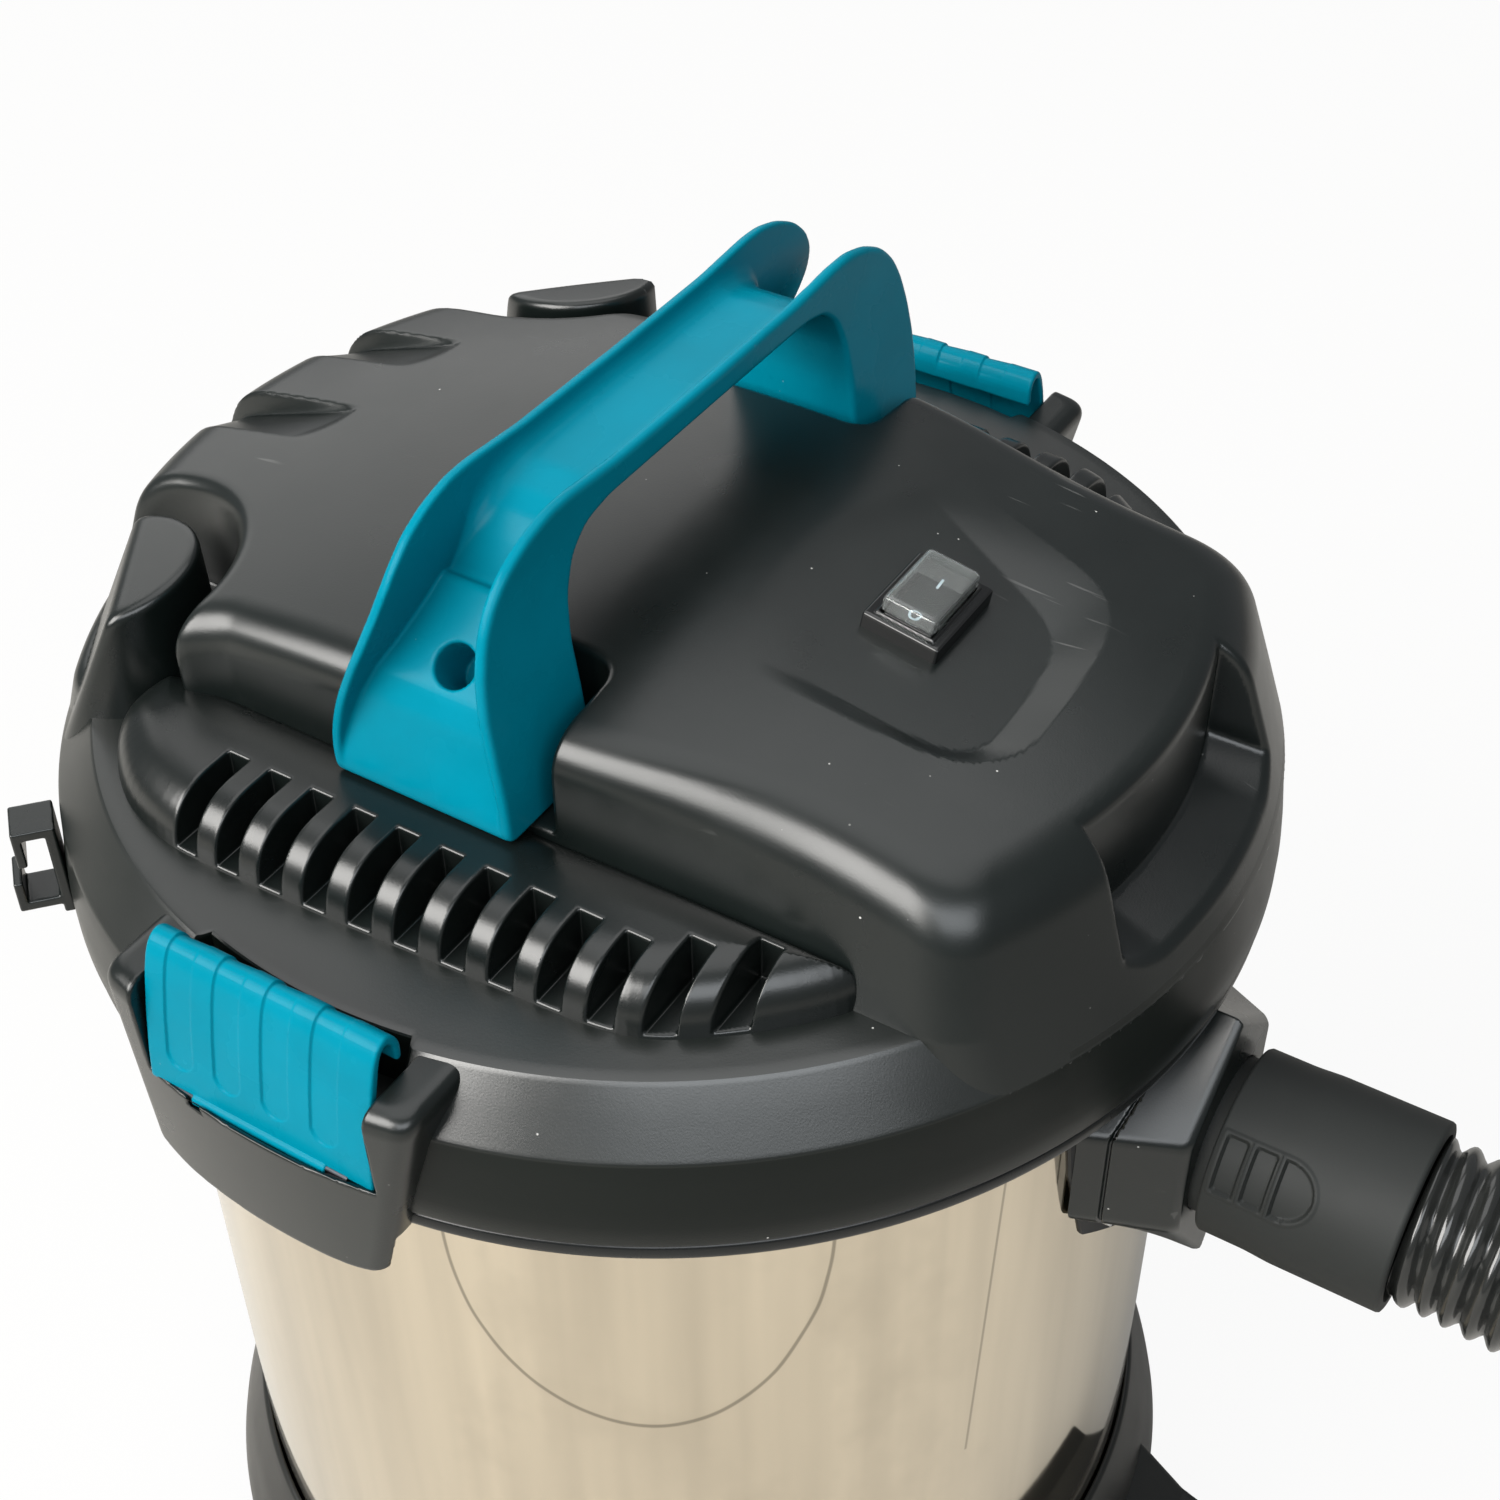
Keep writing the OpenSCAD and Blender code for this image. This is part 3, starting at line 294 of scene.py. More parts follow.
def rounded(corners: Sequence[Sequence[float]], radii: Sequence[float] | float, parts: int = 4) -> Array:
    """Closed flat outline with each corner replaced by a short curve.

    Each curve is the quadratic (1 - t)^2 a + 2t(1 - t) b + t^2 c, where b is the corner and a and c lie on
    its two sides at the corner's radius, or at 0.45 of the side if that is less.

    Args:
        corners: The outline's corners in order.
        radii: One radius for all, or one for each corner.
        parts: Number of pieces in each curve.

    Returns:
        The outline's points.
    """
    b = np.asarray(corners, float)
    radius = np.broadcast_to(np.asarray(radii, float), len(b))
    back, on = np.roll(b, 1, 0) - b, np.roll(b, -1, 0) - b
    lb, lo = np.linalg.norm(back, axis=1), np.linalg.norm(on, axis=1)
    a = b + back * (np.minimum(radius, 0.45 * lb) / lb)[:, None]
    c = b + on * (np.minimum(radius, 0.45 * lo) / lo)[:, None]
    t = np.linspace(0.0, 1.0, parts + 1)[None, :, None]
    curve = (1 - t) ** 2 * a[:, None] + 2 * t * (1 - t) * b[:, None] + t**2 * c[:, None]
    return curve.reshape(-1, 2)


def signed_volume(p: Array, faces: Array) -> float:
    """Volume inside a closed mesh of quads, positive where its faces point outwards."""
    a, b, c, d = (p[faces[:, i]] for i in range(4))
    return float(np.einsum("ij,ij->i", a, np.cross(b, c) + np.cross(c, d)).sum() / 6.0)


class Place(Enum):
    """Bodies that pieces ride on."""

    TANK = "tank"
    HEAD = "head"
    LEFT_LATCH = "left_latch"
    RIGHT_LATCH = "right_latch"
    ROCKER = "rocker"


class Side(Enum):
    """The two sides of the head, along X."""

    LEFT = "left"
    RIGHT = "right"

    def shape(self, drawn: Distance) -> Distance:
        """A distance drawn for the left side, or its mirror image in X."""
        return drawn if self is Side.LEFT else lambda x, y, z: drawn(-x, y, z)

    def span(self, near: float, far: float) -> tuple[float, float]:
        """Lowest and highest X between two distances from the middle."""
        return (-far, -near) if self is Side.LEFT else (near, far)


def add_object(name: str, data: bpy.types.ID) -> bpy.types.Object:
    """New object with its data, linked to the scene.

    Args:
        name: Name of the object.
        data: Its mesh, lamp or camera.

    Returns:
        The object.
    """
    item = bpy.data.objects.new(name, data)
    bpy.context.scene.collection.objects.link(item)
    return item


def write_mesh(
    name: str, points: Array, faces: Array, normals: Optional[Array] = None, crease: float = 35.0
) -> bpy.types.Object:
    """Makes a mesh object from whole arrays.

    Args:
        name: Name of the piece.
        points: Points in millimetres.
        faces: Quads, turned over here if they enclose a negative volume.
        normals: Outward directions at the points, or None to shade smooth up to the crease angle.
        crease: Angle in degrees past which an edge stays sharp.

    Returns:
        The object, at the origin.
    """
    if normals is None and signed_volume(points, faces) < 0:
        faces = faces[:, ::-1]
    mesh = bpy.data.meshes.new(name)
    mesh.vertices.add(len(points))
    mesh.vertices.foreach_set("co", (points * MM).astype(np.float32).ravel())
    mesh.loops.add(faces.size)
    mesh.loops.foreach_set("vertex_index", faces.astype(np.int32).ravel())
    mesh.polygons.add(len(faces))
    mesh.polygons.foreach_set("loop_start", np.arange(0, faces.size, faces.shape[1], dtype=np.int32))
    mesh.polygons.foreach_set("use_smooth", np.ones(len(faces), bool))
    mesh.update(calc_edges=True)
    if normals is None:
        mesh.set_sharp_from_angle(angle=math.radians(crease))
    else:
        mesh.normals_split_custom_set_from_vertices(normals.tolist())
    return add_object(name, mesh)


def lathe(
    name: str,
    outline: Array,
    columns: int = 192,
    crease: float = 35.0,
    centre: Sequence[float] = (0.0, 0.0, 0.0),
    axis: int = 2,
) -> bpy.types.Object:
    """Turned piece: a closed outline of radius and run carried round an axis.

    For the vertical axis, point (u, v) is (r(v) cos u, r(v) sin u, z(v)).

    Args:
        name: Name of the piece.
        outline: Closed outline of (radius, run along the axis) points.
        columns: Number of steps round the axis.
        crease: Angle in degrees past which an edge stays sharp.
        centre: Where the outline's run is zero on the axis.
        axis: Number of the axis, 2 for vertical.

    Returns:
        The piece.
    """
    u = full_turn(columns)
    r, run = outline[:, 0][:, None], outline[:, 1][:, None]
    p = np.stack([r * np.cos(u), r * np.sin(u), np.broadcast_to(run, (len(outline), columns))], -1)
    p = np.roll(p, (axis + 1) % 3, axis=-1).reshape(-1, 3) + np.asarray(centre, float)
    return write_mesh(name, p, grid_faces(len(outline), columns, close_rows=True), crease=crease)


def moulded(
    name: str, shape: Distance, low: Sequence[float], high: Sequence[float], step: Sequence[float] | float
) -> bpy.types.Object:
    """Moulded piece with filleted edges: the zero surface of a distance, shaded by its own slope.

    Args:
        name: Name of the piece.
        shape: Distance to the piece.
        low: Lowest corner of the space that holds it.
        high: Highest corner of that space.
        step: Grid spacing, one for all axes or one each.

    Returns:
        The piece.
    """
    steps = (step, step, step) if isinstance(step, (int, float)) else step
    points, faces, normals = skin(shape, low, high, steps)
    return write_mesh(name, points, faces, normals)


def dress(
    piece: bpy.types.Object, finish: bpy.types.Material, place: Place | str, nodes: Sequence[str] = (),
) -> bpy.types.Object:
    """Gives a piece its material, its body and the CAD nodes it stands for.

    Args:
        piece: The new object.
        finish: Its material.
        place: The body that it rides on.
        nodes: CAD nodes that it replaces.

    Returns:
        The same object.
    """
    piece.data.materials.append(finish)
    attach(piece, place.value if isinstance(place, Place) else place)
    if nodes:
        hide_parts(*nodes)
    LOG.info("%s: %d faces, rides on %s", piece.name, len(piece.data.polygons), piece["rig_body"])
    return piece


# ---------------------------------------------------------------- finishes


class Nodes:
    """Short way to lay out the nodes of a material or of the world."""

    def __init__(self, owner: bpy.types.Material | bpy.types.World) -> None:
        """Empties the owner's node tree.

        Args:
            owner: The material or the world.
        """
        owner.use_nodes = True
        self.tree = owner.node_tree
        self.tree.nodes.clear()

    def join(self, a: bpy.types.NodeSocket, b: bpy.types.NodeSocket) -> None:
        """Links an output to an input."""
        self.tree.links.new(a, b)

    def add(self, kind: str, values: Optional[dict] = None, **settings: object) -> bpy.types.Node:
        """New node with its settings and the values of its inputs.

        Args:
            kind: The node's type.
            values: Input name or number to a value or to an output that feeds it.
            **settings: Properties of the node.

        Returns:
            The node.
        """
        node = self.tree.nodes.new(kind)
        for key, value in settings.items():
            setattr(node, key, value)
        for key, value in (values or {}).items():
            if isinstance(value, bpy.types.NodeSocket):
                self.join(value, node.inputs[key])
            else:
                node.inputs[key].default_value = value
        return node

    def math(self, operation: str, *terms: object) -> bpy.types.NodeSocket:
        """One arithmetic step on numbers or outputs."""
        return self.add("ShaderNodeMath", dict(enumerate(terms)), operation=operation).outputs[0]

    def end(
        self, kind: str, share: bpy.types.NodeSocket, first: bpy.types.Node, second: bpy.types.Node
    ) -> None:
        """Ends the tree in an output that mixes two shaders, with a share of the second."""
        mix = self.add("ShaderNodeMixShader", {0: share, 1: first.outputs[0], 2: second.outputs[0]})
        self.join(mix.outputs[0], self.add(kind).inputs[0])


class Graph(Nodes):
    """Node tree of a surface, ready with its shader."""

    def __init__(self, name: str) -> None:
        """Starts a material with its shader and the object's own coordinates.

        Args:
            name: Name of the material.
        """
        self.material = bpy.data.materials.new(name)
        super().__init__(self.material)
        self.shader = self.add("ShaderNodeBsdfPrincipled")
        self.join(self.shader.outputs[0], self.add("ShaderNodeOutputMaterial").inputs["Surface"])
        self.place = self.add("ShaderNodeTexCoord").outputs["Object"]

    def put(self, **values: object) -> None:
        """Sets inputs of the shader to values or outputs, with _ for the spaces in their names."""
        for key, value in values.items():
            socket = self.shader.inputs[key.replace("_", " ")]
            if isinstance(value, bpy.types.NodeSocket):
                self.join(value, socket)
            else:
                socket.default_value = value

    def axes(self, vector: bpy.types.NodeSocket) -> bpy.types.bpy_prop_collection:
        """The three parts of a vector."""
        return self.add("ShaderNodeSeparateXYZ", {0: vector}).outputs

    def length(self, a: bpy.types.NodeSocket, b: bpy.types.NodeSocket) -> bpy.types.NodeSocket:
        """Length of the vector (a, b)."""
        return self.math("SQRT", self.math("ADD", self.math("MULTIPLY", a, a), self.math("MULTIPLY", b, b)))

    def noise(
        self,
        scale: float,
        detail: float = 3.0,
        stretch: Sequence[float] = (1.0, 1.0, 1.0),
        roughness: float = 0.55,
    ) -> bpy.types.NodeSocket:
        """Noise on the object's own metres, drawn out by stretch.

        Args:
            scale: Waves to the metre.
            detail: Number of finer layers.
            stretch: Factors along X, Y and Z.
            roughness: Share of each finer layer.

        Returns:
            The noise, 0 to 1.
        """
        mapping = self.add("ShaderNodeMapping", {"Vector": self.place, "Scale": stretch})
        return self.add(
            "ShaderNodeTexNoise",
            {"Vector": mapping.outputs[0], "Scale": scale, "Detail": detail, "Roughness": roughness},
        ).outputs["Fac"]

    def remap(
        self, value: bpy.types.NodeSocket, low: float, high: float, to_low: float, to_high: float
    ) -> bpy.types.NodeSocket:
        """Carries one range onto another, clamped.

        Args:
            value: The value.
            low: Start of its range.
            high: End of its range.
            to_low: Start of the new range.
            to_high: End of the new range.

        Returns:
            The value in the new range.
        """
        return self.add(
            "ShaderNodeMapRange",
            {"Value": value, "From Min": low, "From Max": high, "To Min": to_low, "To Max": to_high},
        ).outputs[0]

    def blend(
        self, fac: bpy.types.NodeSocket, a: Sequence[float], b: Sequence[float]
    ) -> bpy.types.NodeSocket:
        """Mix of two colours, or of a socket and a colour.

        Args:
            fac: Share of the second colour.
            a: First colour.
            b: Second colour.

        Returns:
            The mixed colour.
        """
        node = self.add("ShaderNodeMix", data_type="RGBA")
        self.join(fac, node.inputs[0])
        for index, value in ((6, a), (7, b)):
            if isinstance(value, bpy.types.NodeSocket):
                self.join(value, node.inputs[index])
            else:
                node.inputs[index].default_value = (*value, 1.0)
        return node.outputs[2]

    def bump(
        self,
        height: bpy.types.NodeSocket,
        distance: float,
        strength: float = 1.0,
        under: Optional[bpy.types.NodeSocket] = None,
    ) -> bpy.types.NodeSocket:
        """Bump of a height in metres, over another normal if one is given.

        Args:
            height: Height pattern.
            distance: Metres that a height of 1 stands for.
            strength: Strength of the bump.
            under: The normal below it.

        Returns:
            The bent normal.
        """
        node = self.add("ShaderNodeBump", {"Height": height, "Distance": distance, "Strength": strength})
        if under is not None:
            self.join(under, node.inputs["Normal"])
        return node.outputs[0]


def linear(r: int, g: int, b: int) -> tuple[float, float, float]:
    """Linear colour of three 0-255 display values.

    Args:
        r: Red.
        g: Green.
        b: Blue.

    Returns:
        The three shares, 0 to 1.
    """
    return tuple(
        c / 12.92 if c <= 0.04045 else ((c + 0.055) / 1.055) ** 2.4 for c in (v / 255.0 for v in (r, g, b))
    )


@dataclass(frozen=True)
class MouldedPlastic:
    """Plastic out of a steel mould: a fine spark-eroded grain, slow changes of gloss and a little dust."""

    name: str
    colour: tuple[int, int, int]
    roughness: float
    grain: float = 0.00003
    grain_scale: float = 1900.0
    dust: float = 0.0
    speck: tuple[float, float, float] = (0.42, 0.42, 0.40)
    scuffs: float = 0.0
    scratch: tuple[float, float, float] = (0.16, 0.16, 0.155)
    subsurface: float = 0.0
    subsurface_depth: float = 0.002
    specular: float = 0.5
    shine: Optional[tuple[float, float]] = None

    def build(self) -> bpy.types.Material:
        """Lays out the material: dust lightens the colour, noise moves the gloss and raises the grain.

        Returns:
            The material.
        """
        g = Graph(self.name)
        base = linear(*self.colour)
        slow = g.noise(34.0, 4.0)
        shade = g.blend(
            g.remap(slow, 0.3, 0.7, 0.0, 1.0),
            tuple(c * 0.93 for c in base),
            tuple(min(1.0, c * 1.07) for c in base),
        )
        if self.dust > 0.0:
            cells = g.add("ShaderNodeTexVoronoi", {"Vector": g.place, "Scale": 150.0, "Randomness": 1.0})
            near = g.remap(cells.outputs["Distance"], 0.03, 0.05, 1.0, 0.0)
            rare = g.remap(g.noise(61.0, 1.0), 0.6, 0.64, 0.0, self.dust)
            shade = g.blend(g.math("MULTIPLY", near, rare), shade, self.speck)
        if self.scuffs > 0.0:
            threads = g.noise(420.0, 2.0, (1.0, 0.05, 0.4))
            patches = g.remap(g.noise(17.0, 2.0), 0.56, 0.68, 0.0, self.scuffs)
            line = g.remap(threads, 0.69, 0.72, 0.0, 1.0)
            shade = g.blend(g.math("MULTIPLY", line, patches), shade, self.scratch)
        fine = g.noise(self.grain_scale, 2.0, roughness=0.5)
        g.put(
            Base_Color=shade, Specular_IOR_Level=self.specular,
            Roughness=g.remap(slow, 0.25, 0.75, self.roughness * 0.9, self.roughness * 1.12),
            Normal=g.bump(fine, self.grain, 0.6, g.bump(g.noise(60.0, 2.0), 0.00012, 0.25)),
        )
        # Painted sheen: the specular level follows the face's tilt, lower on upright faces and higher on
        # faces that look up.
        if self.shine is not None:
            up = g.axes(g.add("ShaderNodeNewGeometry").outputs["Normal"])[2]
            g.put(Specular_IOR_Level=g.remap(up, 0.15, 0.55, *self.shine))
        if self.subsurface > 0.0:
            depth = self.subsurface_depth
            g.put(
                Subsurface_Weight=self.subsurface,
                Subsurface_Radius=(depth, depth, depth),
                Subsurface_Scale=0.6,
            )
        return g.material


@dataclass(frozen=True)
class PolishedSteel:
    """Sheet steel: rolled in one direction, polished, slightly wavy and smudged by hands."""

    name: str
    colour: tuple[int, int, int]
    roughness: float
    smudges: float = 0.0
    waves: float = 0.0
    bands: float = 0.1
    # The next two fields place painted reflections: dark lines blended into the drum's colour.
    arc: Optional[tuple[float, float, float, float]] = None
    stroke: Optional[tuple[float, float, float, float]] = None
    lining: Optional[tuple[float, float]] = None
    lining_colour: tuple[int, int, int] = (222, 222, 219)

    def lines(self, g: Graph) -> Optional[bpy.types.NodeSocket]:
        """Painted reflections: thin dark lines drawn round the drum in place of the dark things that it
        reflects.

        The arc is the lower half of an ellipse on the unrolled sheet, |sqrt(u^2 + v^2) - 1| under a small
        width, where u is the turn from its middle over its half turn and v the height under its top over
        its depth. The stroke is a nearly upright line whose turn changes evenly with the height.

        Args:
            g: The material's nodes.

        Returns:
            Share of the line at a point, or None without lines.
        """
        if self.arc is None or self.stroke is None:
            return None
        axes = g.axes(g.place)
        turn = g.math("ARCTAN2", axes[1], axes[0])
        wobble = g.math("MULTIPLY", g.math("SUBTRACT", g.noise(20.0, 2.0), 0.5), 0.05)
        middle, half, top, depth = self.arc
        u = g.math("DIVIDE", g.math("SUBTRACT", turn, math.radians(middle)), math.radians(half))
        v = g.math("DIVIDE", g.math("SUBTRACT", axes[2], top), depth)
        off = g.math("ABSOLUTE", g.math("ADD", g.math("SUBTRACT", g.length(u, v), 1.0), wobble))
        arc = g.math("MULTIPLY", g.remap(off, 0.006, 0.014, 1.0, 0.0), g.math("LESS_THAN", axes[2], top))
        at, low, high, lean = self.stroke
        slope = math.radians(lean) / (high - low)
        line = g.math("ADD", math.radians(at), g.math("MULTIPLY", g.math("SUBTRACT", axes[2], high), slope))
        off = g.math("ABSOLUTE", g.math("SUBTRACT", turn, line))
        part = g.math("MULTIPLY", g.math("LESS_THAN", axes[2], high), g.math("GREATER_THAN", axes[2], low))
        stroke = g.math("MULTIPLY", g.remap(off, 0.0018, 0.0036, 0.8, 0.0), part)
        return g.math("MAXIMUM", arc, stroke)

    def build(self) -> bpy.types.Material:
        """Lays out the material: long upright noise for the rolling, broad noise for smudges and waves, and
        painted dark reflection lines.

        Returns:
            The material.
        """
        g = Graph(self.name)
        base = linear(*self.colour)
        upright = g.noise(42.0, 3.0, (1.0, 1.0, 0.06))
        smear = g.noise(16.0, 4.0, (1.0, 1.0, 0.7), 0.65)
        tone = g.remap(upright, 0.3, 0.7, 0.0, 1.0)
        shade = g.blend(tone, tuple(c * (1.0 - self.bands) for c in base), base)
        cloudy = g.remap(smear, 0.52, 0.68, 0.0, self.smudges)
        shade = g.blend(cloudy, shade, tuple(c * 0.72 for c in base))
        # Painted reflections: the dark lines are blended into the colour here.
        drawn = self.lines(g)
        if drawn is not None:
            shade = g.blend(g.math("MULTIPLY", drawn, 0.62), shade, tuple(c * 0.18 for c in base))
        if self.lining is not None:
            axes, (wall, floor) = g.axes(g.place), self.lining
            within = g.math("LESS_THAN", g.length(axes[0], axes[1]), wall)
            inside = g.math("MULTIPLY", within, g.math("GREATER_THAN", axes[2], floor))
            shade = g.blend(inside, shade, linear(*self.lining_colour))
        fine = g.bump(g.noise(900.0, 2.0, (1.0, 1.0, 0.02)), 0.000004, 0.5)
        smeared = self.roughness * (1.0 + 2.6 * self.smudges)
        g.put(
            Base_Color=shade, Metallic=1.0, Roughness=g.remap(smear, 0.4, 0.75, self.roughness, smeared),
            Normal=g.bump(g.noise(9.0, 1.0, (1.0, 1.0, 0.5)), self.waves, 1.0, fine),
        )
        return g.material


@dataclass(frozen=True)
class ClearPlastic:
    """Clear pressed cover over the switch."""

    name: str
    tint: tuple[int, int, int]

    def build(self) -> bpy.types.Material:
        """Thin clear plastic, with faint changes of gloss.

        Returns:
            The material.
        """
        g = Graph(self.name)
        gloss = g.remap(g.noise(90.0, 2.0), 0.3, 0.7, 0.04, 0.11)
        g.put(Base_Color=(*linear(*self.tint), 1.0), Transmission_Weight=0.96, IOR=1.35, Roughness=gloss)
        return g.material


@dataclass(frozen=True)
class OpenFoam:
    """Foam with open cells."""

    name: str
    colour: tuple[int, int, int]
    cell_scale: float = 700.0

    def build(self) -> bpy.types.Material:
        """Cells from a Voronoi pattern sink the surface, and painted shade darkens the colour in the open
        pores.

        Returns:
            The material.
        """
        g = Graph(self.name)
        base = linear(*self.colour)
        cells = g.add(
            "ShaderNodeTexVoronoi", {"Vector": g.place, "Scale": self.cell_scale}
        ).outputs["Distance"]
        # Painted shade: the colour darkens towards each cell's middle, where the open pores lie.
        shade = g.blend(g.remap(cells, 0.1, 0.6, 0.0, 1.0), tuple(c * 0.3 for c in base), base)
        g.put(Base_Color=shade, Roughness=0.95, Normal=g.bump(cells, 0.0006, 0.8))
        return g.material


@dataclass(frozen=True)
class WoundCopper:
    """Laminated core with its windings: fine rings along the shaft."""

    name: str
    colour: tuple[int, int, int]
    pitch: float = 0.0011

    def build(self) -> bpy.types.Material:
        """Waves along Z darken the colour between sheets.

        Returns:
            The material.
        """
        g = Graph(self.name)
        base = linear(*self.colour)
        inputs = {"Vector": g.place, "Scale": 1.0 / self.pitch / 20.0, "Distortion": 0.4}
        wave = g.add("ShaderNodeTexWave", inputs, bands_direction="Z").outputs["Fac"]
        shade = g.blend(wave, tuple(c * 0.5 for c in base), base)
        g.put(Base_Color=shade, Metallic=0.8, Roughness=0.42, Normal=g.bump(wave, 0.0001, 0.6))
        return g.material


@dataclass(frozen=True)
class Finishes:
    """Every finish on the vacuum, by slot."""

    shell: MouldedPlastic = MouldedPlastic(
        "shell_black", (9, 14, 13), 0.29, dust=0.8, scuffs=0.28, specular=0.45
    )
    # The skirt's sheen is painted: it reflects less on upright faces and more on faces that look up.
    skirt: MouldedPlastic = MouldedPlastic("skirt_black", (11, 15, 13), 0.3, dust=0.8, shine=(0.15, 0.66))
    vents: MouldedPlastic = MouldedPlastic("vent_black", (9, 13, 12), 0.28, dust=0.4, specular=0.48)
    bead: MouldedPlastic = MouldedPlastic("rim_black", (13, 15, 15), 0.26, grain=0.00001, specular=0.3)
    base: MouldedPlastic = MouldedPlastic("base_black", (19, 20, 19), 0.36, specular=0.3)
    teal: MouldedPlastic = MouldedPlastic(
        "teal_plastic", (0, 99, 117), 0.27, grain=0.00001, dust=0.15, specular=0.04, subsurface=0.04
    )
    cuff: MouldedPlastic = MouldedPlastic(
        "cuff_black", (28, 30, 29), 0.62, grain=0.00004, dust=0.8, specular=0.22
    )
    hose: MouldedPlastic = MouldedPlastic("hose_black", (27, 28, 27), 0.16, grain=0.000004)
    rubber: MouldedPlastic = MouldedPlastic("seal_rubber", (24, 24, 24), 0.7)
    switch: MouldedPlastic = MouldedPlastic("switch_gloss", (13, 14, 14), 0.12, grain=0.000003)
    mark: MouldedPlastic = MouldedPlastic("switch_mark", (190, 205, 215), 0.4, grain=0.000003)
    wheel: MouldedPlastic = MouldedPlastic("wheel_grey", (96, 98, 99), 0.45)
    tread: MouldedPlastic = MouldedPlastic("tread_grey", (44, 45, 46), 0.6)
    float_white: MouldedPlastic = MouldedPlastic("float_white", (214, 214, 208), 0.4)
    # The drum's warm cream colour is a painted reflection of warm surroundings, and its two dark lines are
    # painted reflections too.
    drum: PolishedSteel = PolishedSteel(
        "mirror_steel", (226, 214, 192), 0.045, smudges=0.55, waves=0.0012, bands=0.27,
        arc=(-151.0, 18.8, 0.31, 0.075), stroke=(-113.6, 0.186, 0.31, 2.1), lining=(0.1496, 0.0624),
    )
    plated: PolishedSteel = PolishedSteel("plated_steel", (196, 198, 200), 0.28, smudges=0.2)
    blued: PolishedSteel = PolishedSteel("blued_steel", (46, 48, 52), 0.36, smudges=0.2)
    aluminium: PolishedSteel = PolishedSteel("aluminium", (206, 208, 210), 0.4, smudges=0.2)
    brass: PolishedSteel = PolishedSteel("brass", (205, 170, 98), 0.3, smudges=0.2)
    core: WoundCopper = WoundCopper("wound_core", (168, 104, 62))
    clear: ClearPlastic = ClearPlastic("clear_cover", (236, 240, 238))
    foam: OpenFoam = OpenFoam("open_foam", (44, 45, 46))


# ---------------------------------------------------------------- camera, floor and light


